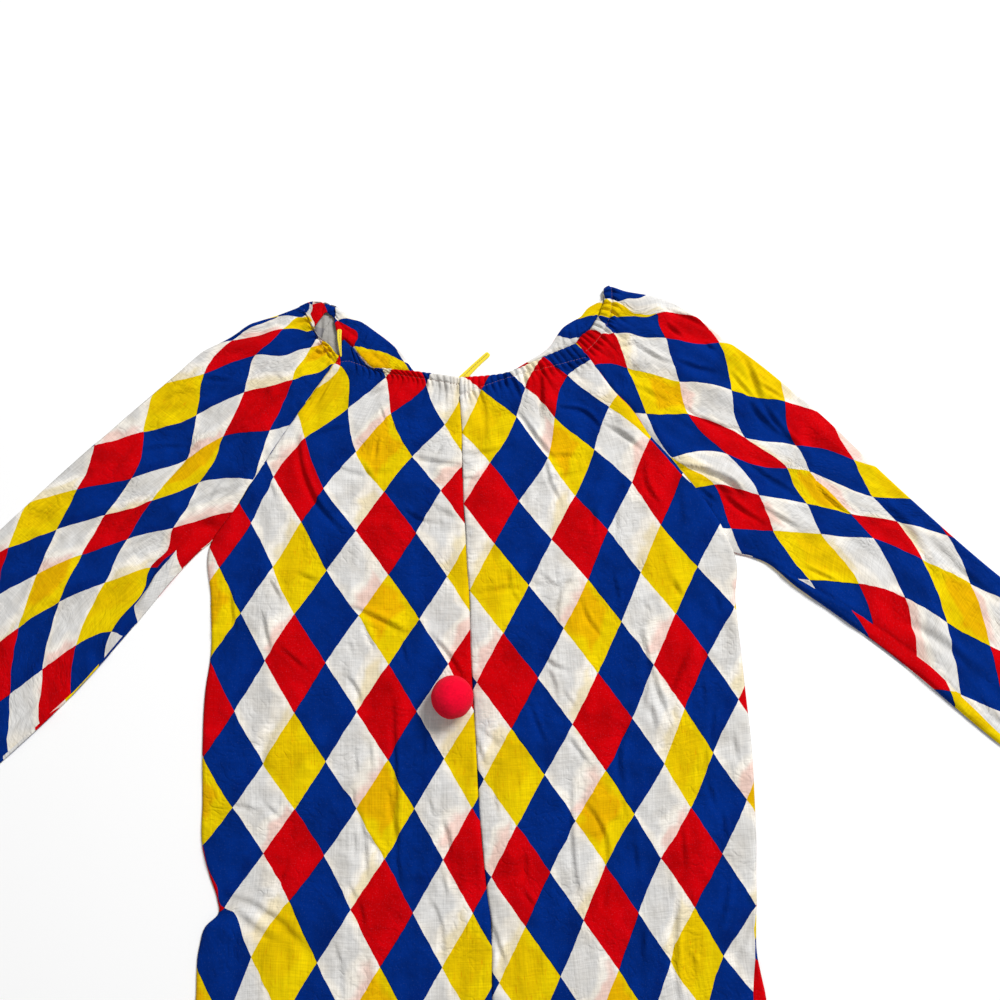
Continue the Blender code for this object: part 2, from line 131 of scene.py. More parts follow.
def gatherHeight(along, below, pleats, casing):
    # pleats: place along the neck edge, reach below the stitching, depth, lean; troughs between small puffs.
    # The second result is how far the cloth is drawn in along the edge.
    valley, fallen, pulled = np.zeros_like(along), np.zeros_like(along), np.zeros_like(along)
    under = np.clip(below - casing, 0, None)
    sewn = np.clip((below - casing) / 1.5, 0, 1)
    for place, reach, depth, lean in pleats:
        across = along - place - lean * under / reach
        width = 1.15 + 0.04 * under
        fade = np.clip(1 - under / reach, 0, 1) ** 1.2
        valley = np.maximum(valley, np.exp(-((along - place) / 1.15) ** 2))
        fallen += 1.9 * depth * np.exp(-(across / width) ** 2) * fade * sewn
        pulled += 0.6 * depth * np.tanh(across / width) * np.exp(-(across / (3 * width)) ** 2) * fade
    between = 1 - valley
    puff = 2.2 * between * np.sin(np.pi * np.clip((below + 1.5) / (casing + 1.5), 0, 1)) ** 0.6
    puffBelow = 1.7 * between * np.exp(-((under - 4.5) / 6) ** 2) * sewn
    stitched = 0.9 * np.exp(-((below - casing) / 1.1) ** 2)
    return puff + puffBelow - fallen - stitched - 0.8 * valley * (below <= casing), pulled


def pinnedMap(pins, base=None, far=()):
    # lattice coordinates of the print: the smoothest map that meets each pin (x, y, a, b) and is held to base
    # at far places
    pins = np.array([*pins, *((x, y, *base(x, y)) for x, y in far)], float)
    px, py = pins[:, 0] / 100, pins[:, 1] / 100
    count = len(pins)

    def terms(x, y):
        apart = (x[..., None] - px) ** 2 + (y[..., None] - py) ** 2
        return np.concatenate([apart * np.log(apart + 1e-9), np.stack([np.ones_like(x), x, y], -1)], -1)

    table = np.zeros((count + 3, count + 3))
    table[:count] = terms(px, py)
    table[count:, :count] = table[:count, count:].T
    weight = np.linalg.solve(table, np.r_[pins[:, 2:], np.zeros((3, 2))])
    return lambda x, y: terms(np.asarray(x, float) / 100, np.asarray(y, float) / 100) @ weight


def within(x, y, corners):
    # which places lie inside a polygon
    inside = np.zeros(np.shape(x), bool)
    for (x0, y0), (x1, y1) in zip(corners, corners[1:] + corners[:1]):
        if y0 != y1:
            inside ^= ((y0 > y) != (y1 > y)) & (x < x0 + (x1 - x0) * (y - y0) / (y1 - y0))
    return inside


def lattice(x0, y0, turn, flipped=False, start=(0, 0)):
    # cloth lattice with corner start at x0, y0: a across, b down, in half diamonds
    c, s = math.cos(math.radians(turn)), math.sin(math.radians(turn))
    sign = -1 if flipped else 1

    def toCloth(x, y):
        dx, dy = np.asarray(x) - x0, np.asarray(y) - y0
        return np.stack([sign * (c * dx + s * dy) / diamond["halfWidth"] + start[0],
                         (s * dx - c * dy) / diamond["halfHeight"] + start[1]], -1)
    return toCloth


def slantLattice(x0, y0, stepA, stepB, start):
    # the same where gathers squeeze the cloth: stepA and stepB are one half diamond across and one down, laid
    back = np.linalg.inv(np.array([stepA, stepB], float).T)

    def toCloth(x, y):
        off = np.stack([np.asarray(x) - x0, np.asarray(y) - y0], -1)
        return off @ back.T + start
    return toCloth


def edgeRun(x, y):
    # unit steps along each row
    run = np.stack([np.gradient(x, axis=1), np.gradient(y, axis=1)], -1)
    return run / np.maximum(np.linalg.norm(run, axis=2, keepdims=True), 1e-6)


def faceCorners(grid):
    # the values at each face's four corners, from a grid of values
    return np.stack([grid[:-1, :-1], grid[1:, :-1], grid[1:, 1:], grid[:-1, 1:]], 2)


def fitPatch(x, y, corners, allowed=True):
    # the faces of a grid inside a polygon, where another part of the print begins; the points along the
    # change are drawn onto the polygon's outline
    inside = within(faceCorners(x).mean(2), faceCorners(y).mean(2), corners) & allowed
    around = np.pad(inside, 1, mode="edge").astype(int)
    around = around[:-1, :-1] + around[1:, :-1] + around[:-1, 1:] + around[1:, 1:]
    starts = np.array(corners, float)
    runs = np.roll(starts, -1, axis=0) - starts
    for i, j in zip(*np.nonzero((around > 0) & (around < 4))):
        share = np.clip(((np.array([x[i, j], y[i, j]]) - starts) * runs).sum(1) / (runs ** 2).sum(1), 0, 1)
        near = starts + runs * share[:, None]
        x[i, j], y[i, j] = near[np.argmin(np.hypot(near[:, 0] - x[i, j], near[:, 1] - y[i, j]))]
    return inside


def turnedDown(distance, radius, share=1):
    # how far a rounded edge has turned down at a distance from it, 0 to 1
    near = np.clip(1 - distance / radius, 0, 1) * share
    return 1 - np.sqrt(1 - near ** 2)


def seamRelief(distance, along, depth, pucker, seed):
    # a groove on a seam, and puckers beside it that run across
    grooveWidth, reach, apart, longer = 2, 9, 6.5, 2.5
    return (pucker * np.exp(-(distance / reach) ** 2) * crumple(distance / longer, along, apart, seed)
            - depth * np.exp(-(distance / grooveWidth) ** 2))


def sewnEdges(below, length):
    # how far the neck edge turns down and the stitching of the hem sinks
    neck, stitched = np.exp(-(below / 1.2) ** 2), np.exp(-((length - below - hem) / 5) ** 2)
    return 1.2 * neck + 0.7 * stitched


def wrinkles(x, y, below, soft, creased, draped, drape):
    # three kinds, each with its size, height and seed; the draped ones are long and run at an angle. They are
    # calm at the neck.
    size, height, seed = soft
    total = height * crumple(x, y, size, seed)
    size, height, seed = creased
    total += height * crumple(x, y, size, seed, sharp=True)
    size, height, seed = draped
    total += height * crumple(x, y, size, seed, turn=drape, longer=2.6)
    return np.clip(below / 60, 0.3, 1) * total


def distanceDown(rows):
    # how far each row lies from the first, on average
    return np.r_[0, np.cumsum(np.linalg.norm(np.diff(rows, axis=0), axis=2).mean(1))]


def rowAt(at, distance):
    return np.argmin(np.abs(at - distance))


def meshObject(name, places, faces, finishes):
    # places in mm from the point on the chest
    mesh = bpy.data.meshes.new(name)
    mesh.from_pydata(((np.asarray(places).reshape(-1, 3) - frameCentre) * mm).tolist(), [], faces)
    for polygon in mesh.polygons:
        polygon.use_smooth = True
    for finish in finishes:
        mesh.materials.append(finish)
    obj = bpy.data.objects.new(name, mesh)
    bpy.context.scene.collection.objects.link(obj)
    return obj


def tubeFaces(first, around, rings):
    # the faces of a closed tube whose rings' points are numbered on from first
    last = first + (rings - 1) * around
    faces = []
    for start in range(first, last, around):
        for k in range(around):
            a, b = start + k, start + (k + 1) % around
            faces.append((a, b, b + around, a + around))
    return faces + [tuple(reversed(range(first, first + around))), tuple(range(last, last + around))]


def hexColour(code):
    parts = [int(code[i:i + 2], 16) / 255 for i in (1, 3, 5)]
    return [p / 12.92 if p <= 0.04045 else ((p + 0.055) / 1.055) ** 2.4 for p in parts] + [1.0]


def newFinish(name, sockets):
    finish = bpy.data.materials.new(name)
    finish.use_nodes = True
    shader = finish.node_tree.nodes["Principled BSDF"]
    for socket, value in sockets.items():
        shader.inputs[socket].default_value = value
    return finish, finish.node_tree, shader


def addNode(tree, kind, settings=None, inputs=None):
    node = tree.nodes.new(kind)
    for key, value in (settings or {}).items():
        setattr(node, key, value)
    for key, value in (inputs or {}).items():
        if isinstance(value, bpy.types.NodeSocket):
            tree.links.new(value, node.inputs[key])
        else:
            node.inputs[key].default_value = value
    return node


def mathsIn(tree):
    def maths(operation, a, b=0.0, c=0.0):
        return addNode(tree, "ShaderNodeMath", {"operation": operation}, {0: a, 1: b, 2: c}).outputs[0]
    return maths


def diamondInks():
    # which ink prints at a place on the lattice, and how far it is from the diamond's edge
    tree = bpy.data.node_groups.new("diamondInks", "ShaderNodeTree")
    tree.interface.new_socket("place", in_out="INPUT", socket_type="NodeSocketVector")
    for name in ("blue", "red", "yellow", "inside"):
        tree.interface.new_socket(name, in_out="OUTPUT", socket_type="NodeSocketFloat")
    start = addNode(tree, "NodeGroupInput")
    end = addNode(tree, "NodeGroupOutput")
    maths = mathsIn(tree)
    parts = addNode(tree, "ShaderNodeSeparateXYZ", inputs={0: start.outputs[0]})
    p = maths("MULTIPLY", maths("ADD", parts.outputs[0], parts.outputs[1]), 0.5)
    q = maths("MULTIPLY", maths("SUBTRACT", parts.outputs[0], parts.outputs[1]), 0.5)
    pCell, qCell = maths("FLOOR", p), maths("FLOOR", q)
    kind = maths("FLOORED_MODULO", maths("MULTIPLY_ADD", pCell, 2.0, maths("MULTIPLY", qCell, -1.0)), 3.0)
    blue = maths("COMPARE", kind, 1.0, 0.1)
    other = maths("COMPARE", kind, 2.0, 0.1)
    row = maths("FLOORED_MODULO", maths("SUBTRACT", pCell, qCell), 4.0)
    second = maths("GREATER_THAN", row, 1.5)
    red = maths("MULTIPLY", other, second)
    yellow = maths("SUBTRACT", other, red)
    edgeP = maths("PINGPONG", p, 0.5)
    edgeQ = maths("PINGPONG", q, 0.5)
    inside = maths("MULTIPLY", maths("MINIMUM", edgeP, edgeQ), 2.0)
    for socket, value in zip(end.inputs, (blue, red, yellow, inside)):
        tree.links.new(value, socket)
    return tree


printTree = diamondInks()


def printedCotton(name, shadedWrongSide=False):
    # Light plain-weave cotton, screen printed in three inks: matt, with slubby thread and inks that lap at
    # their edges. The wrong side is the bare thread with the print showing through; its ground is painted a
    # dark grey as painted shade for the inside of the neck. IOR 1.47 is cotton's, and there is almost no
    # gloss because the thread is dull.
    finish, tree, shader = newFinish(name, {"IOR": 1.47, "Roughness": 0.95, "Metallic": 0.0,
                                            "Specular IOR Level": 0.04, "Sheen Weight": 0.0,
                                            "Sheen Roughness": 0.5})
    maths = mathsIn(tree)

    def vectors(operation, a, b):
        return addNode(tree, "ShaderNodeVectorMath", {"operation": operation}, {0: a, 1: b}).outputs[0]

    def mix(blend, amount, a, b):
        node = addNode(tree, "ShaderNodeMix", {"data_type": "RGBA", "blend_type": blend},
                       {"Factor": amount, 6: a, 7: b})
        return node.outputs[2]

    def cloud(place, scale, detail=2.0):
        settings = {"Vector": place, "Scale": scale, "Detail": detail, "Roughness": 0.6}
        return addNode(tree, "ShaderNodeTexNoise", inputs=settings).outputs[0]

    def printed(place):
        return addNode(tree, "ShaderNodeGroup", {"node_tree": printTree}, {0: place})

    def between(value, low, high, bottom=0.0, top=1.0):
        return addNode(tree, "ShaderNodeMapRange", {"interpolation_type": "SMOOTHSTEP"},
                       {0: value, 1: low, 2: high, 3: bottom, 4: top}).outputs[0]

    def colourNoise(scale, detail):
        return addNode(tree, "ShaderNodeTexNoise",
                       inputs={"Vector": cloth, "Scale": scale, "Detail": detail}).outputs["Color"]

    def scatter(scale, detail, reach):
        # a noisy shift, to either side alike
        return vectors("MULTIPLY", vectors("SUBTRACT", colourNoise(scale, detail), (0.5, 0.5, 0.5)), reach)

    cloth = addNode(tree, "ShaderNodeUVMap", {"uv_map": "cloth"}).outputs[0]
    # the print's edges waver by about 0.3 mm where the thread gave
    waver = scatter(70.0, 3.0, (0.0022, 0.0022, 0.0))
    halves = (diamond["halfWidth"] * mm, diamond["halfHeight"] * mm, 1.0)
    place = vectors("DIVIDE", vectors("ADD", cloth, waver), halves)
    # each ink's two lapped edges, in mm on the cloth
    laps = {"blue": ((0.0, 0.0),), "red": ((0.3, 0.25), (-0.3, -0.25)),
            "yellow": ((0.35, -0.3), (-0.35, 0.3))}
    masks = {}
    for ink, shifts in laps.items():
        parts = []
        for across, down in shifts:
            shift = (across / diamond["halfWidth"], down / diamond["halfHeight"], 0.0)
            parts.append(printed(vectors("ADD", place, shift)).outputs[ink])
        masks[ink] = maths("MAXIMUM", parts[0], parts[-1])

    # slubs: thicker threads, drawn 1.2 mm wide so that they show, 20 to 60 mm long
    across = cloud(vectors("MULTIPLY", cloth, (760.0, 24.0, 1.0)), 1.0)
    down = cloud(vectors("MULTIPLY", cloth, (28.0, 860.0, 1.0)), 1.0)
    weave = maths("ADD", across, down)    # about 1
    patch = cloud(cloth, 26.0, 3.0)
    specks = between(cloud(cloth, 780.0, 1.0), 0.60, 0.72)    # knots that take no ink, 1.3 mm apart
    # short slubs that drink ink
    nubs = between(cloud(vectors("MULTIPLY", cloth, (620.0, 90.0, 1.0)), 1.0), 0.58, 0.72)

    # the right side's ground is the bare white cloth; the wrong side's dark grey ground is painted shade, for
    # the shade inside the neck
    clothGroundOrPaintedShade = hexColour("#EDE8DF") if not shadedWrongSide else hexColour("#A29F9A")
    # the back layer's print shows faintly through the white
    blurred = vectors("ADD", place, scatter(30.0, 2.0, (1.1, 0.7, 0.0)))
    behind = vectors("ADD", vectors("MULTIPLY", blurred, (-1.0, 1.0, 0.0)), (0.7, 1.25, 0.0))
    ghost = printed(behind)
    soft = between(ghost.outputs["inside"], 0.0, 0.35)
    colour = clothGroundOrPaintedShade
    if not shadedWrongSide:
        for ink, tint, strength in (("blue", "#C0CADC", 0.45), ("red", "#F4BDB6", 0.55),
                                    ("yellow", "#F2E2A8", 0.55)):
            amount = maths("MULTIPLY", maths("MULTIPLY", ghost.outputs[ink], soft), strength)
            colour = mix("MULTIPLY", amount, colour, hexColour(tint))
        colour = mix("MULTIPLY", between(patch, 0.35, 0.7, 0.0, 0.5), colour, hexColour("#E6E0D6"))
    taken = 0.3 if shadedWrongSide else 1.0
    for ink, shade in (("yellow", "#F5DB04"), ("red", "#DA000C"), ("blue", "#002E8E")):
        colour = mix("MULTIPLY", maths("MULTIPLY", masks[ink], taken), colour, hexColour(shade))
    dark = maths("ADD", masks["blue"], masks["red"])
    if not shadedWrongSide:
        colour = mix("MULTIPLY", maths("MULTIPLY", masks["yellow"], maths("MULTIPLY", nubs, 0.55)), colour,
                     hexColour("#F6C400"))
        colour = mix("SCREEN", maths("MULTIPLY", dark, maths("MULTIPLY", specks, 0.05)), colour,
                     hexColour("#8292B4"))
        colour = mix("MULTIPLY", maths("MULTIPLY", dark, between(patch, 0.4, 0.7, 0.0, 0.35)), colour,
                     hexColour("#C8C8D4"))
    contrast = maths("MULTIPLY_ADD", dark, 0.34, -0.52)    # the thread shows least on the dark inks
    dimmed = maths("ADD", maths("MULTIPLY", weave, contrast), maths("SUBTRACT", 1.0, contrast))
    grey = addNode(tree, "ShaderNodeCombineColor", inputs={0: dimmed, 1: dimmed, 2: dimmed}).outputs[0]
    tree.links.new(mix("MULTIPLY", 1.0, colour, grey), shader.inputs["Base Color"])

    # relief in mm: soft wrinkles about 16 mm apart, fine creases 7 to 12 mm apart in places, and the thread
    wrinkled = maths("MULTIPLY", cloud(cloth, 62.0, 2.0), 1.35)
    warped = vectors("ADD", cloth, vectors("MULTIPLY", colourNoise(22.0, 1.0), (0.02, 0.02, 0.0)))
    worn = between(cloud(cloth, 15.0, 1.0), 0.42, 0.6)
    fine = maths("ABSOLUTE", maths("SUBTRACT", cloud(warped, 85.0, 1.0), 0.5))
    creased = maths("MULTIPLY", maths("MULTIPLY", between(fine, 0.0, 0.13), worn), 0.36)
    finer = maths("ABSOLUTE", maths("SUBTRACT", cloud(warped, 150.0, 1.0), 0.5))
    creased = maths("ADD", creased, maths("MULTIPLY", between(finer, 0.0, 0.16), 0.07))
    relief = maths("ADD", maths("ADD", wrinkled, creased), maths("MULTIPLY", weave, 0.17))
    bump = addNode(tree, "ShaderNodeBump", inputs={"Strength": 1.0, "Distance": 0.001, "Height": relief})
    tree.links.new(bump.outputs[0], shader.inputs["Normal"])
    return finish


def plainMatt(name, code, roughness=0.8, grain=900.0, sheen=0.1, bumpDistance=0.0003):
    finish, tree, shader = newFinish(name, {"Roughness": roughness, "Metallic": 0.0,
                                            "Specular IOR Level": 0.1, "Sheen Weight": sheen,
                                            "Sheen Roughness": 0.5})
    place = addNode(tree, "ShaderNodeTexCoord").outputs["Object"]
    fine = addNode(tree, "ShaderNodeTexNoise",
                   inputs={"Vector": place, "Scale": grain, "Detail": 3.0}).outputs[0]
    ramp = addNode(tree, "ShaderNodeMapRange", inputs={0: fine, 1: 0.3, 2: 0.7, 3: 0.86, 4: 1.08}).outputs[0]
    grey = addNode(tree, "ShaderNodeCombineColor", inputs={0: ramp, 1: ramp, 2: ramp}).outputs[0]
    colour = addNode(tree, "ShaderNodeMix", {"data_type": "RGBA", "blend_type": "MULTIPLY"},
                     {"Factor": 1.0, 6: hexColour(code), 7: grey}).outputs[2]
    tree.links.new(colour, shader.inputs["Base Color"])
    bump = addNode(tree, "ShaderNodeBump", inputs={"Strength": 0.5, "Distance": bumpDistance, "Height": fine})
    tree.links.new(bump.outputs[0], shader.inputs["Normal"])
    return finish


printedSide = printedCotton("printed cotton, right side")
# the inner shell of every cloth: the wrong side, greyed as painted shade for the inside of the neck
shadedWrongSide = printedCotton("printed cotton, wrong side, painted shade", shadedWrongSide=True)
cloths = [printedSide, shadedWrongSide]
print("materials made")


thread = {"length": 2.4, "pitch": 3.4, "radius": 0.2, "raised": 0.05, "sides": 6}
threadPink = plainMatt("polyester sewing thread, dusty rose", "#94716C", roughness=0.6, grain=2600.0,
                       sheen=0.0)
hem = 14    # from a cuff's or an ankle's edge to its stitching


def makeCloth(node, points, cloth, flip):
    # a sheet from a grid of points (mm), its print side up; cloth holds the lattice coordinates of each
    # face's corners
    number = np.arange(points.shape[0] * points.shape[1]).reshape(points.shape[:2])
    faces, corners = faceCorners(number).reshape(-1, 4), cloth.reshape(-1, 4, 2)
    if flip:
        faces, corners = faces[:, ::-1], corners[:, ::-1]
    obj = meshObject(node + "_cloth", points, faces.tolist(), cloths)
    layer = obj.data.uv_layers.new(name="cloth")
    flatCloth = corners * [diamond["halfWidth"] * mm, diamond["halfHeight"] * mm]
    layer.data.foreach_set("uv", flatCloth.astype(np.float32).ravel())
    bpy.context.view_layer.objects.active = obj
    obj.select_set(True)
    wall = obj.modifiers.new("wall", "SOLIDIFY")
    wall.thickness, wall.offset = clothThick * mm, -1
    wall.material_offset, wall.material_offset_rim = 1, 0
    bpy.ops.object.modifier_apply(modifier="wall")
    bpy.ops.object.shade_smooth()
    obj.select_set(False)
    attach(obj, "root")
    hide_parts(node)
    return obj


def stitching(name, lines):
    # one mesh of short rounded stitches along each line of points, half sunk in the cloth
    ends = np.array([-0.5, -0.32, 0.32, 0.5]) * thread["length"]
    radii = np.array([0.35, 1.0, 1.0, 0.35]) * thread["radius"]
    turn = np.linspace(0, 2 * np.pi, thread["sides"], endpoint=False)
    vertices, faces = [], []
    for line in lines:
        length = np.r_[0, np.cumsum(np.linalg.norm(np.diff(line, axis=0), axis=1))]
        for middle in np.arange(thread["pitch"], length[-1] - thread["pitch"] / 2, thread["pitch"]):
            centre, before, after = (
                np.array([np.interp(middle + step, length, line[:, k]) for k in range(3)])
                for step in (0, -0.8, 0.8))
            run = (after - before) / np.linalg.norm(after - before)
            side = np.cross(run, [0, 0, 1])
            side /= np.linalg.norm(side)
            top = np.cross(side, run)
            centre = centre + thread["raised"] * top
            faces += tubeFaces(len(vertices), len(turn), len(ends))
            ring = np.cos(turn)[:, None] * side + np.sin(turn)[:, None] * top
            for end, radius in zip(ends, radii):
                vertices += list(centre + run * end + radius * ring)
    obj = meshObject(name, vertices, faces, [threadPink])
    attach(obj, "root")
    return obj


# from the neck edge down: seam x, y, left raglan or side x, y, right x, y, height of the print side
frontRows = [
    (-46, 296, -183, 321, 87, 337, 4.2),
    (-46, 283, -191, 309, 95, 327, 4.4),
    (-45, 262, -205, 288, 109, 309, 4.4),
    (-43, 232, -228, 253, 127, 282, 4.4),
    (-42, 200, -248, 221, 147, 260, 4.2),
    (-41, 170, -263, 195, 168, 228, 4.2),
    (-40, 142, -279, 167, 196, 194, 4.2),
    (-38, 120, -294, 140, 227, 153, 4.2),
    (-37, 100, -315, 109, 255, 97, 4.2),
    (-33, 45, -312, 45, 254, 45, 4.2),
    (-31, -14, -308, -14, 257, -14, 4.2),
    (-29, -50, -311, -50, 259, -50, 4.2),
    (-25, -106, -310, -106, 262, -106, 4.2),
    (-22, -160, -306, -160, 262, -160, 4.2),
    (-18, -204, -303, -204, 261, -204, 4.2),
    (-15, -231, -294, -231, 259, -231, 4.2),
    (-12, -255, -284, -255, 258, -255, 4.2),
    (-10, -267, -282, -267, 257, -267, 4.2),
    (-9, -279, -294, -279, 256, -279, 4.2),
    (-8, -298, -299, -298, 255, -298, 4.2),
    (-8, -346, -299, -346, 262, -346, 4.2),
    (-6, -395, -300, -395, 265, -395, 4.2),
    (-5, -440, -301, -440, 268, -440, 4.2),
]
# legs: y, left outer x, left inner x, right inner x, right outer x
legRows = [
    (-462, -302, -13, 4, 269),
    (-520, -305, -25, 16, 272),
    (-620, -311, -42, 31, 278),
    (-760, -319, -65, 49, 287),
    (-920, -326, -89, 68, 295),
    (-1070, -331, -109, 84, 302),
    (-1090, -332, -112, 86, 303),
]
outerColumn = {"left": 2, "right": 4}    # where a row above holds each side's outer x and y
armpitRow, crotchRow = 8, 22
legHeight = 4.2
frontColumns = 120
frontEdge = {"radius": 5, "height": 1.5, "lowest": 1.6}
frontSpacing = [(0, 1.1), (26, 1.8), (80, 2.7), (640, 14.0)]    # from the neck edge: step
casing = 13    # from the neck edge to its stitching


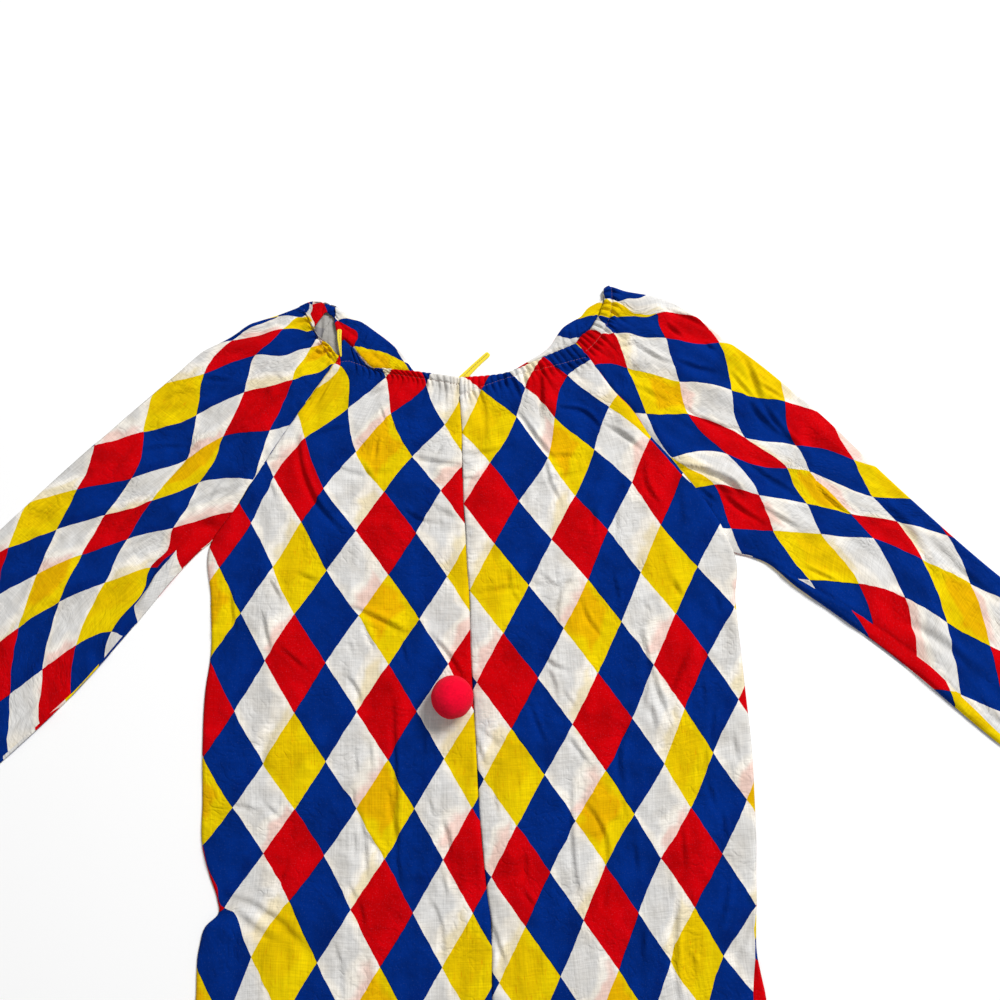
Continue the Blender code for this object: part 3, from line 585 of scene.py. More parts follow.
fronts = {
    "left": {
        "neckEdge": [(-101, 304), (-132, 307), (-150, 309), (-160, 320), (-168, 331), (-175, 338),
                     (-180, 342), (-183, 333)],
        "print": lattice(-184.8, 72.7, 0.5),
        "pins": [(-171, 259, 0, -4), (-130, 296, 1, -5), (-218, 224, -1, -3), (-182, 309, -1, -5),
                 (-251, 180, -2, -2), (-194, 166, 0, -2), (-218, 129, -1, -1), (-273, 128, -3, -1),
                 (-84, 288, 3, -5), (-123, 253, 2, -4), (-62, 240, 4, -4), (-161, 209, 1, -3),
                 (-98, 203, 3, -3), (-128, 163, 2, -2), (-65, 164, 4, -2), (-188, 76, 0, 0),
                 (-57, 70, 4, 0), (-92, 117, 3, -1), (-220, 29, -1, 1), (-152, 27, 1, 1),
                 (-249, -20, -2, 2), (-118, -23, 2, 2), (-147, -168, 1, 5), (-181, -312, 0, 8),
                 (-57, -316, 4, 8), (-160, 318, 0, -5), (-140, 313, 0.6, -5.3), (-185, 330, -0.5, -5.5),
                 (-188, 352, 0, -6), (-44, 274, 4.9, -4.9), (-47, 297, 4.7, -5.1), (-276, -262, -3, 7),
                 (-293, -272, -3.4, 7.4), (-301, -293, -3.75, 7.75), (-301, -315, -4, 8),
                 (-298, -216, -3.8, 6.2), (-295, -225, -3.65, 6.35), (-246, -306, -2, 8),
                 (-267, -266, -2.7, 7.3), (-257, -286, -2.35, 7.65), (-288, -236, -3.5, 6.5),
                 (-283.5, -245, -3.3, 6.7), (-281.5, -257, -3.1, 6.9), (-302, -203, -4, 6)],
        "far": [(-30, -150), (-280, -150), (-300, -440), (-30, -440), (-310, -760), (-60, -760),
                (-330, -1080), (-110, -1080)],
        "folds": [(-218, 222, -187, 132, 5, 12, 3.2), (-248, 44, -247, -15, 2, 9, 2.6),
                  (-103, -50, -99, -217, -4, 11, 2.6), (-150, 29, -103, 18, 2, 6, 1.8),
                  (-156, -236, -169, -300, 3, 11, 2.2)],
        "creases": sortCreases(
            slight=[(-135, 259, -130, 244), (-155, 215, -160, 206), (-223, 286, -216, 270),
                    (-161, -1, -157, -14), (-215, -221, -223, -243)],
            fine=[(-206, 225, -172, 236, 3), (-174, 186, -140, 177), (-77, 203, -48, 235),
                  (-138, 221, -140, 203), (-152, 192, -143, 177), (-143, 273, -129, 285),
                  (-207, 267, -193, 294), (-263, 198, -241, 202), (-256, 172, -249, 156),
                  (-106, 144, -67, 128, -5), (-220, 72, -199, 64), (-147, 17, -134, -8),
                  (-105, -1, -101, -20), (-234, -6, -207, -29), (-151, -110, -150, -131),
                  (-136, -105, -134, -127), (-80, -95, -80, -112), (-268, -166, -250, -170),
                  (-240, -165, -227, -176), (-151, -150, -152, -163), (-137, -192, -123, -210),
                  (-149, -189, -148, -210), (-152, -241, -146, -252), (-74, -160, -69, -173),
                  (-58, -232, -56, -247), (-70, -256, -58, -306, 5), (-33, -280, -52, -306),
                  (-141, -258, -137, -277), (-105, -213, -101, -238), (-165, -294, -156, -333, 2),
                  (-240, -321, -228, -338)],
            sharp=[(-94, 201, -44, 192, -1), (-291, 53, -284, 13, -2), (-249, 64, -237, 45),
                   (-255, 26, -245, -8), (-160, 35, -103, 9, 2), (-162, -37, -148, -61, 2),
                   (-113, -69, -105, -218, 1), (-73, 4, -41, -38, 3), (-146, -169, -136, -233, 2),
                   (-114, -150, -107, -191, -1), (-60, -180, -53, -213, 3)],
            blunt=[(-180, 188, -113, 188, -5), (-74, 146, -46, 130), (-124, -315, -138, -336)],
            deep=[(-227, 220, -177, 122, -11)],
            broad=[(-239, -96, -246, -129, -6)],
            own=[(-276, -252, -190, -304, 8, 5.5, -2.4), (-262, -268, -228, -290, -3, 6, -2.4)]),
        "drape": 84,    # which way the soft creases run, in degrees
        "rolled": None,
        # where the turned corner and the pompom lie: x, y, size, drop
        "dips": [(-176, 336, 16, 2.0), (-49, -42, 12, 0.8)],
        "offset": (0, 0),
        "pleats": [(4, 30, 1.4, 1), (8, 18, 1.1, 0), (12, 30, 1.4, 0), (20, 58, 2.0, -3), (28, 44, 1.6, 0),
                   (31, 30, 1.5, 4), (38, 18, 1.2, -2), (44, 52, 1.7, 5), (51, 15, 1.1, 0),
                   (57, 34, 1.5, 3), (64, 20, 1.3, -3), (70, 12, 1.0, 0), (77, 42, 1.7, 6),
                   (84, 18, 1.2, 1), (91, 30, 1.4, 4), (99, 16, 1.1, 0), (106, 48, 1.6, 7),
                   (114, 20, 1.2, 2), (122, 30, 1.3, 3), (131, 16, 1.0, 0), (140, 26, 1.2, 2)],
    },
    "right": {
        "neckEdge": [(11, 303), (48, 320)],
        "print": lattice(-32.1, 54.4, 4.6),
        "pins": [(-21, 281, 1, -5), (29, 284, 3, -5), (77, 298, 5, -5), (-43, 231, 0, -4), (18, 249, 2, -4),
                 (61, 248, 4, -4), (123, 260, 6, -4), (-11, 196, 1, -3), (53, 201, 3, -3),
                 (105, 211, 5, -3), (168, 223, 7, -3), (-40, 149, 0, -2), (21, 153, 2, -2),
                 (83, 159, 4, -2), (146, 173, 6, -2), (202, 182, 8, -2), (176, 126, 7, -1),
                 (118, 120, 5, -1), (214, 80, 8, 0), (95, 66, 4, 0), (221, -14, 8, 2), (221, -113, 8, 4),
                 (170, -124, 6, 4), (226, -211, 8, 6), (163, -215, 6, 6), (257, -260, 9, 7),
                 (195, -261, 7, 7), (221, -305, 8, 8), (117, -318, 4, 8), (46, -135, 2, 4), (252, 37, 9, 1),
                 (87, 337, 5.2, -6.6), (243, 130, 9, -1), (226, 161, 8.46, -1.5), (236, 147, 8.73, -1.24)],
        "far": [(-20, -20), (-10, -200), (0, -440), (265, -440), (50, -760), (285, -760), (85, -1080),
                (300, -1080)],
        "folds": [(51, 287, 67, 222, 2, 10, 2.8), (118, 276, 158, 226, 2, 11, 3.0),
                  (213, 2, 190, -52, 2, 10, 3.0), (156, -50, 169, -85, 2, 8, 2.0),
                  (205, -160, 192, -236, 3, 11, 2.2)],
        "creases": sortCreases(
            slight=[(5, 301, 6, 286), (10, 57, 22, 56), (10, 57, 18, 44), (10, 57, 1, 59), (61, 59, 60, 80),
                    (61, 59, 63, 47), (155, 41, 161, 31), (67, -52, 77, -66), (-21, -90, -5, -102),
                    (125, -160, 128, -176), (190, -248, 191, -260)],
            fine=[(29, 294, 27, 273), (57, 203, 86, 203), (-46, 206, 19, 218, -4), (-46, 177, -24, 177),
                  (116, 191, 96, 164), (200, 158, 198, 130), (54, 175, 32, 152), (54, 175, 65, 152),
                  (54, 175, 49, 198), (103, 143, 101, 119), (128, 141, 128, 119), (9, 57, 8, 76),
                  (9, 57, -19, 52), (60, 59, 44, 71), (60, 59, 79, 64), (60, 59, 36, 61), (123, 69, 126, 44),
                  (87, 41, 108, 6, -3), (186, 65, 194, 49), (157, -30, 149, -62), (157, -66, 161, -86),
                  (213, -40, 213, -62), (223, -71, 219, -99), (47, -17, 70, -30, -2), (50, -30, 58, -55, 2),
                  (32, -66, 45, -100, -1), (-25, -99, -18, -122), (71, -99, 92, -128, 1),
                  (213, -110, 211, -127), (243, -94, 244, -117), (-7, -150, -4, -171), (25, -212, 25, -235),
                  (23, -248, 34, -261), (124, -177, 107, -193, -3), (57, -268, 44, -286),
                  (109, -240, 102, -260), (136, -202, 137, -226), (170, -231, 170, -248),
                  (184, -182, 186, -226), (214, -144, 219, -164), (227, -171, 228, -192),
                  (187, -303, 196, -324)],
            sharp=[(14, 297, 20, 277), (45, 315, 45, 250, 1), (68, 258, 111, 236, 8), (119, 238, 155, 212, 2),
                   (21, 253, 56, 203, -1), (160, 195, 173, 152, -6), (189, 229, 238, 203, 16),
                   (78, 73, 61, 15, -8), (149, 13, 156, -21), (203, -3, 180, -51, -2),
                   (160, -30, 174, -78, -1), (-12, -272, 5, -316), (72, -146, 77, -247, -3),
                   (87, -164, 103, -234, 11), (141, -283, 139, -308), (229, -234, 215, -283, 2)],
            blunt=[(-21, 273, -17, 226), (54, 174, 93, 186), (230, 52, 235, 30)],
            deep=[(132, -84, 125, -142, -6), (177, -251, 173, -347, -3)],
            own=[(252.5, -280, 248.5, -350, 0, 1.6, -1.6), (249, -345, 251, -400, 0, 1.6, -1.6),
                 (243, -257, 219, -300, 1, 5, 2.0), (253, -266, 229, -312, 1, 4, -3.0)]),
        "drape": 97,
        # the back's cloth rolled round the side: its outline, and its print
        "rolled": ([(256, -268), (253, -280), (253.5, -292), (252, -310), (248.5, -345), (250, -385),
                    (258, -430), (264, -450), (300, -450), (300, -268)],
                   slantLattice(247, -304, (31, 20), (0, -40), (5, 1))),
        "dips": [(-36, -42, 10, 0.8)],
        "offset": (-2, 4),    # the same repeat, cut from another place on the cloth
        "pleats": [(5, 16, 1.1, 0), (9, 24, 1.4, 2), (14, 34, 1.8, 7), (21, 52, 1.4, 3), (28, 14, 1.0, 0),
                   (35, 26, 1.4, 3), (42, 16, 1.2, 1), (49, 34, 1.5, 4), (56, 42, 2.0, 6), (63, 18, 1.2, 1),
                   (70, 28, 1.5, -3), (76, 15, 1.1, 0), (83, 24, 1.3, -2), (90, 60, 2.1, 2),
                   (97, 18, 1.2, 0), (104, 30, 1.4, 4), (111, 15, 1.0, 1), (118, 36, 1.5, 5),
                   (126, 20, 1.2, 2), (133, 26, 1.2, 3)],
    },
}


def legEnds(side):
    # y, inner x and outer x of each row
    return [(y, leftInner, leftOuter) if side == "left" else (y, rightInner, rightOuter)
            for y, leftOuter, leftInner, rightInner, rightOuter in legRows]


def frontPlan(side):
    # where the panel lies: rows' distances below the neck edge, those of the finer steps, and the places
    outer = outerColumn[side]
    bends = [fronts[side]["neckEdge"]] + [[]] * (len(frontRows) - 1)
    rows = [smoothPath([row[0:2], *bend, row[outer:outer + 2]], frontColumns)
            for row, bend in zip(frontRows, bends)]
    rows += [smoothPath([(inner, y), (out, y)], frontColumns) for y, inner, out in legEnds(side)]
    heights = [row[6] for row in frontRows] + [legHeight] * len(legRows)
    rows = np.array(rows)
    down = distanceDown(rows)
    at = steps(frontSpacing, down[-1])
    return down, at, throughPoints(down, rows, at), throughPoints(down, np.array(heights)[:, None], at)


def frontPanel(side):
    data = fronts[side]
    down, at, plan, height = frontPlan(side)
    x, y = plan[..., 0].copy(), plan[..., 1].copy()
    below = np.repeat(at[:, None], x.shape[1], 1)
    neckLength = np.linalg.norm(np.diff(plan[0], axis=0), axis=1).sum()
    width = np.linalg.norm(plan[:, -1] - plan[:, 0], axis=1)[:, None]
    share = np.linspace(0, 1, x.shape[1])[None, :]
    along = share * neckLength * np.ones_like(x)
    fromSeam, fromSide = share * width, (1 - share) * width
    z = height * np.ones_like(x)
    patch = fitPatch(x, y, data["rolled"][0]) if data["rolled"] else None
    raised, drawn = creaseField(x, y, data["folds"] + data["creases"])
    z += raised + wrinkles(x, y, below, (44, 0.8, 3.1), (24, 1.1, 7.7), (15, 1.5, 5.2), data["drape"])
    gathered, pulled = gatherHeight(along, below, data["pleats"], casing)
    z += gathered
    drawn += pulled[..., None] * edgeRun(x, y)
    for foldX, foldY, size, drop in data["dips"]:
        z -= drop * np.exp(-((x - foldX) ** 2 + (y - foldY) ** 2) / size ** 2)
    raglan = 1 / (1 + np.exp((below - down[armpitRow]) / 4))    # 1 beside the raglan seam, 0 below it
    z += seamRelief(fromSeam, y, 1.6, 1.1, 2.2)
    z += seamRelief(fromSide, y, 1.1 * raglan, 1.0, 8.2)
    legs = np.clip((below - down[crotchRow]) / 20, 0, 1)
    z -= (1 - raglan) * (z - frontEdge["height"]) * turnedDown(fromSide, frontEdge["radius"])
    z -= (z - frontEdge["height"]) * turnedDown(fromSeam, frontEdge["radius"], legs)
    z -= sewnEdges(below, down[-1])
    points = np.stack([x, y, np.maximum(z, frontEdge["lowest"])], -1)
    toCloth = pinnedMap(data["pins"], data["print"], data["far"])
    cloth = faceCorners(toCloth(x + drawn[..., 0], y + drawn[..., 1]) + np.array(data["offset"], float))
    if data["rolled"]:
        cloth = np.where(patch[..., None, None], faceCorners(data["rolled"][1](x, y)), cloth)
    obj = makeCloth("front_" + side, points, cloth, flip=side == "left")
    lines = [points[rowAt(at, casing)], points[rowAt(at, down[-1] - hem)]]
    return obj, stitching("front_" + side + "_stitches", lines)


frontLeft, frontLeftSewing = frontPanel("left")
frontRight, frontRightSewing = frontPanel("right")
print("fronts made")


# down the sleeve, a row for each row of the front: top fold x, y, bow of the row towards the cuff, height
sleeves = {
    "left": {
        "heads": [(-214, 357, 1, 4.2), (-232, 383, 3, 4.4), (-256, 373, 5, 4.6), (-288, 361, 4, 4.8),
                  (-314, 343, 2, 4.6), (-342, 327, 0, 4.2), (-368, 302, 0, 4.0), (-395, 276, 0, 3.8),
                  (-424, 248, 0, 3.6)],
        # below the armpit: underarm x, y, fold x, y, how far the back rolls round to the front
        "arms": [(-330, 95, -441, 231, 1), (-347, 76, -458, 215, 1), (-390, 20, -504, 168, 1.5),
                 (-448, -52, -566, 102, 2), (-535, -140, -645, 8, 3), (-613, -219, -709, -63, 2),
                 (-627, -233, -723, -78, 1.5)],
        # back raglan seam, from the neck down
        "backSeam": [(-188, 364), (-189, 382), (-189, 382), (-197, 366), (-211, 331), (-229, 290),
                     (-250, 242), (-271, 195), (-294, 148), (-315, 109)],
        "neckEdge": [(-188, 325), (-195, 334), (-201, 339), (-207, 343), (-210, 348), (-213, 354)],
        "turnedEdge": [(-214, 357), (-207, 368), (-202, 375), (-195, 371), (-188, 364)],
        "crown": [(-232, 383), (-221, 388), (-205, 387), (-189, 382)],
        "print": lattice(-280, 322, -40, start=(6, 6)),
        "pins": [(-280, 322, 6, 6), (-290, 278, 7, 7), (-310, 226, 8, 8), (-333, 174, 9, 9),
                 (-358, 123, 10, 10), (-234, 291, 8, 6), (-249, 353, 5, 5), (-308, 341, 4, 6),
                 (-337, 300, 5, 7), (-342, 251, 6, 8), (-350, 200, 7, 9), (-400, 232, 5, 9),
                 (-408, 178, 6, 10), (-258, 233, 9, 7), (-273, 177, 10, 8), (-288, 140, 11, 9),
                 (-380, 80, 11, 11), (-221, 386, 3, 3), (-218, 385, 4, 2), (-202, 390, 5, 1),
                 (-202, 381, 5.5, 1.5), (-199, 373, 6, 2), (-184, 380, 6, 0), (-187, 362, 7, 1),
                 (-221, 379, 3.3, 3.3), (-225, 371, 3.7, 3.7), (-233, 369, 4, 4), (-258, 371, 3, 5),
                 (-264, 386, 2, 4), (-238, 394, 2.5, 3.5), (-221, 369, 4.5, 3.5), (-217, 364, 4.75, 3.25),
                 (-219, 373, 4.5, 2.5), (-216, 365, 4.75, 2.75), (-214, 356, 5, 3), (-204, 364, 5.5, 2.5),
                 (-213, 354, 6, 4), (-227, 352, 5.5, 4.5), (-209, 345, 6.5, 4.5), (-216, 331, 7, 5),
                 (-244, 321, 6.5, 5.5), (-224, 315, 7.5, 5.5), (-198, 342, 8, 4), (-183, 328, 8.5, 4.5),
                 (-181, 312, 9, 5), (-224, 296, 8.3, 5.7), (-205, 302, 8.6, 5.4), (-414, 11, 12, 12),
                 (-385, 13, 12.6, 11), (-388, 50, 11.5, 11.5), (-403, 71, 10.5, 11.5),
                 (-363, 98, 10.5, 10.5), (-323, 132, 10.5, 9.5), (-383, 118, 9.5, 10.5)],
        "far": [(-535, -140), (-645, 8), (-627, -233), (-723, -78), (-420, 400), (-570, 250)],
        # where the back half comes round under the arm, and the print there
        "tucked": ([(-351, 98), (-364, 88), (-372, 80), (-383, 55), (-394, 38), (-386, 12), (-373, 2),
                    (-334, 44), (-343, 76)], slantLattice(-394, 38, (28, 8.5), (-15, -52), (12, 12))),
        "underOffset": (-0.5, -0.8),
        "underPrint": None,
        "drape": 48,
        "wrinkled": 2.7,
        "folds": [(-231, 363, -304, 329, 2, 11, 3.2), (-224, 335, -284, 287, 2, 10, 3.0),
                  (-229, 311, -308, 222, 3, 10, 3.0), (-282, 165, -361, 115, 3, 10, 3.4),
                  (-330, 120, -372, 70, 2, 9, 2.8), (-470, 90, -520, -20, 3, 16, 2.8)],
        "creases": sortCreases(
            slight=[(-336, 136, -326, 142), (-350, 103, -340, 112)],
            fine=[(-337, 294, -309, 291), (-398, 209, -353, 213, 3), (-348, 138, -286, 173, -3),
                  (-410, 99, -373, 116), (-406, 91, -368, 113)],
            sharp=[(-351, 201, -321, 229)],
            blunt=[(-389, 265, -348, 281), (-327, 152, -310, 177), (-317, 155, -285, 186)],
            deep=[(-354, 196, -411, 135, -1)],
            broad=[(-305, 340, -269, 350), (-330, 129, -308, 121)],
            own=[(-347, 143, -294, 167, 2, 3.0, -2.6), (-350, 206, -318, 233, 0, 5, 1.8),
                 (-351, 98, -372, 80, 1, 3.0, -2.8), (-372, 81, -394, 39, 2, 3.4, -3.2),
                 (-208, 334, -188, 314, 0, 2.0, -1.9), (-201, 337, -183, 310, 0, 2.0, -1.9),
                 (-215, 328, -194, 320, 0, 2.0, -1.9), (-204, 326, -192, 330, 0, 1.8, -1.6),
                 (-480, 60, -560, -40, -6, 6, -2.2), (-520, 90, -600, 20, 4, 5, -1.6),
                 (-560, -60, -640, -130, 5, 6, -2.0), (-600, 0, -670, -60, -3, 5, -1.5),
                 (-470, -30, -530, -110, 3, 5, -1.6), (-610, -150, -660, -190, 2, 4, -1.2)]),
        "backCreases": [(-203, 372, -204, 332, 1, 2.6, 2.4), (-210, 366, -212, 338, 0, 2.4, 1.6),
                        (-290, 300, -360, 230, 6, 6, 0.5), (-350, 220, -330, 140, 5, 6, 0.45),
                        (-400, 180, -470, 60, -8, 7, 0.5), (-480, 40, -560, -60, 6, 6, 0.5),
                        (-560, 60, -640, -60, 5, 6, 0.45)],
        "pleats": [(5, 18, 1.2, 1), (11, 34, 1.6, 3), (17, 14, 1.1, 0), (23, 40, 1.7, 5), (30, 20, 1.3, 2),
                   (36, 52, 1.6, 6), (42, 16, 1.1, 1), (49, 28, 1.4, 3), (56, 18, 1.2, 0)],
        # over the turned half, counted on round the edge
        "backPleats": [(64, 16, 1.1, 0), (69, 28, 1.5, 1), (75, 14, 1.0, 0), (80, 24, 1.4, 0),
                       (86, 18, 1.2, 0), (92, 26, 1.4, 0), (98, 16, 1.1, 0), (105, 20, 1.2, 0),
                       (112, 16, 1.0, 0)],
    },
    "right": {
        "heads": [(121, 405, 9, 4.2), (128, 408, 12, 4.4), (147, 402, 11, 4.6), (191, 392, 8, 4.8),
                  (220, 376, 4, 4.6), (254, 347, 1, 4.2), (292, 317, 0, 4.0), (333, 280, 0, 3.8),
                  (374, 241, 0, 3.6)],
        "arms": [(275, 91, 393, 220, 0.8), (293, 83, 411, 201, 1), (318, 61, 428, 183, 7),
                 (352, 36, 456, 154, 11), (432, -26, 540, 72, 16), (515, -100, 622, 5, 9),
                 (590, -160, 685, -50, 2), (605, -173, 700, -63, 1.5)],
        "backSeam": [(121, 397), (121, 391), (126, 382), (132, 372), (147, 340), (165, 303), (188, 258),
                     (213, 205), (237, 146), (255, 97)],
        "neckEdge": [(93, 346), (105, 356), (109, 363), (112, 368), (115, 373), (117, 380), (120, 386),
                     (121, 393), (119.5, 399)],
        "turnedEdge": None,
        "crown": None,
        "print": lattice(190, 342, -131, start=(6, 6)),
        "pins": [(190, 342, 6, 6), (251, 337, 5, 5), (203, 289, 7, 5), (262, 280, 6, 4), (145, 306, 8, 6),
                 (107, 310, 9, 7), (165, 253, 9, 5), (212, 252, 8, 4), (275, 225, 7, 3), (322, 267, 5, 3),
                 (331, 216, 6, 2), (394, 199, 5, 1), (192, 202, 10, 4), (254, 207, 9, 3), (320, 190, 8, 2),
                 (344, 186, 7, 1), (412, 158, 6, 0), (236, 170, 11, 3), (285, 159, 10, 2), (338, 150, 9, 1),
                 (386, 138, 8, 0), (299, 119, 11, 1), (351, 116, 10, 0), (334, 66, 12, 0),
                 (388, 62, 11, -1), (407, 111, 9, -1), (123, 390, 4, 8), (136, 388, 3.75, 7.75),
                 (148, 391, 3.4, 7.4), (166, 394, 3.2, 7.2), (176, 401, 3, 7), (121, 410, 3, 9),
                 (142, 422, 2.2, 7.8), (204, 397, 3.6, 6.6), (158, 344, 6.5, 6.5), (136, 386, 4.2, 7.8),
                 (145, 381, 4.4, 7.6), (155, 373, 4.65, 7.35), (168, 371, 4.85, 7.15),
                 (155, 370, 5.35, 7.35), (139, 370, 5.6, 7.6), (180, 372, 5, 7), (182, 364, 5.25, 6.75),
                 (185, 353, 5.6, 6.4), (230, 369, 4, 6), (111, 382, 5, 9), (113, 370, 6, 8),
                 (122, 356, 6.5, 7.5), (130, 348, 7, 7), (83, 355, 8, 8), (88, 326, 8.5, 7.5),
                 (110.5, 352, 7.5, 7.5)],
        "far": [(515, -100), (622, 5), (605, -173), (700, -63), (330, 450), (500, 320)],
        "tucked": None,
        "underOffset": (0, 0),
        "underPrint": pinnedMap([(290, 88, 0, 0.4), (349, 18, 0, 0.95), (400, -30, 0, 1.55)],
                                slantLattice(400, -30, (-20, -24), (37, -31), (0, 1.55)),
                                [(440, -60), (515, -100), (622, 5), (605, -173)]),
        "drape": -38,
        "wrinkled": 1.9,
        "folds": [(134, 391, 231, 354, 3, 11, 3.2), (122, 354, 207, 341, 3, 10, 3.0),
                  (129, 329, 294, 257, 5, 11, 3.0), (253, 335, 337, 234, 3, 10, 2.6),
                  (212, 199, 330, 132, 3, 11, 3.4), (267, 88, 397, 23, 3, 10, 2.8),
                  (440, 90, 470, -20, 3, 16, 2.8)],
        "creases": sortCreases(
            slight=[(115, 367, 137, 357), (237, 335, 244, 329)],
            fine=[(192, 358, 208, 343), (138, 330, 152, 336), (206, 262, 263, 235, -5), (263, 301, 284, 271),
                  (294, 285, 318, 271), (238, 170, 258, 158), (290, 144, 322, 124), (220, 167, 237, 152)],
            sharp=[(197, 374, 236, 355, 2), (159, 331, 195, 311, -2), (204, 313, 240, 303, -1),
                   (278, 321, 293, 270, 1), (277, 192, 324, 161), (244, 163, 284, 130, -3),
                   (299, 259, 329, 219, -2)],
            blunt=[(157, 281, 190, 267)],
            deep=[(281, 265, 328, 218, -5)],
            broad=[(145, 306, 156, 299)],
            own=[(350, 181, 351, 167, 0, 2.2, -2.2), (351, 168, 382, 138, -1.5, 2.2, -2.4),
                 (338, 253, 394, 198, 2, 7, 2.4), (205, 190, 251, 174, 3, 4.2, -3.4),
                 (247, 176, 263, 161, 2, 4.2, -3.4), (329, 79, 364, 63, 0, 3.0, -2.2),
                 (420, 150, 470, 70, 6, 6, -2.2), (470, 110, 540, 40, -4, 5, -1.6),
                 (430, 20, 500, -30, 5, 6, -2.0), (540, 40, 600, -20, 3, 5, -1.5),
                 (500, -60, 560, -110, -4, 5, -1.6), (600, -60, 650, -100, 2, 4, -1.2)]),
        "backCreases": [(200, 340, 290, 280, 6, 6, 0.5), (240, 240, 300, 160, 5, 6, 0.45),
                        (330, 220, 380, 110, -8, 7, 0.5), (400, 120, 470, 20, 6, 6, 0.5),
                        (500, 60, 560, -60, 5, 6, 0.45)],
        "pleats": [(5, 16, 1.1, 0), (11, 30, 1.5, 3), (17, 18, 1.2, 1), (24, 42, 1.7, -3), (31, 16, 1.1, 0),
                   (38, 36, 1.6, -4), (45, 20, 1.3, -1), (52, 54, 1.8, -6), (59, 18, 1.2, 0),
                   (66, 30, 1.5, -3), (73, 16, 1.2, 0), (79, 24, 1.3, 0)],
        "backPleats": [],
    },
}
sleeveSpacing = [(0, 1.2), (28, 1.9), (80, 2.7), (480, 9.0)]
sleeveColumns = (8, 92, 54)    # up to the underarm seam, over the front, and under the back
armHeight = 4.0
turnedHeight, crownHeight = 3.2, 2.2    # of the back half where it is turned over to the front
# where an edge turns: radius, and the height it turns to
underarmEdge, topFold, backFold, backSeamEdge = (5, 1.4), (5, 1.5), (3.5, 1.5), (4, 1.3)


def sleeveRows(side):
    # the rows from the underarm seam over the front to the top fold and back under to the back seam: x, y, z
    data = sleeves[side]
    under, across, beneath = sleeveColumns
    over, outer = under + across, outerColumn[side]
    rows = []
    for k, (foldX, foldY, bow, height) in enumerate(data["heads"]):
        start = np.array(frontRows[k][outer:outer + 2], float)
        fold = np.array([foldX, foldY], float)
        outward = (fold - start) / np.linalg.norm(fold - start)
        towardsCuff = np.array([outward[1], -outward[0]]) * (1 if side == "right" else -1)
        share = np.linspace(0, 1, 60)[:, None]
        front = start + (fold - start) * share + towardsCuff * bow * 4 * share * (1 - share)
        if k == 0:
            front = np.array([start, *data["neckEdge"], fold])
        rows.append((front, 0.6, height, data["backSeam"][k + 1 if k > 1 else k]))
    for underX, underY, foldX, foldY, rolled in data["arms"]:
        front = np.array([(underX, underY), (foldX, foldY)], float)
        rows.append((front, rolled, armHeight, (underX, underY)))
    grid = []
    for k, (front, rolled, height, backEnd) in enumerate(rows):
        whole = smoothPath(front, 400)
        seamAt = max(1, round(400 * rolled / np.linalg.norm(whole[-1] - whole[0])))
        front = np.r_[smoothPath(whole[:seamAt + 1], under)[:-1], smoothPath(whole[seamAt:], across)]
        if k == 0 and data["turnedEdge"]:
            back, backZ = smoothPath(data["turnedEdge"], beneath), turnedHeight
        elif k == 1 and data["crown"]:
            back, backZ = smoothPath(data["crown"], beneath), crownHeight
        else:
            back, backZ = smoothPath([front[-1], backEnd], beneath), 0.0
        row = np.c_[np.r_[front, back[1:]], np.r_[np.full(over + 1, height), np.full(beneath, backZ)]]
        if k == 2 and data["crown"]:
            # the crown's foot, where the layer below has reached the floor
            foot = grid[-1] * 0.8 + row * 0.2
            foot[over + 1:, 2] = 0.0
            grid.append(foot)
        grid.append(row)
    return np.array(grid)


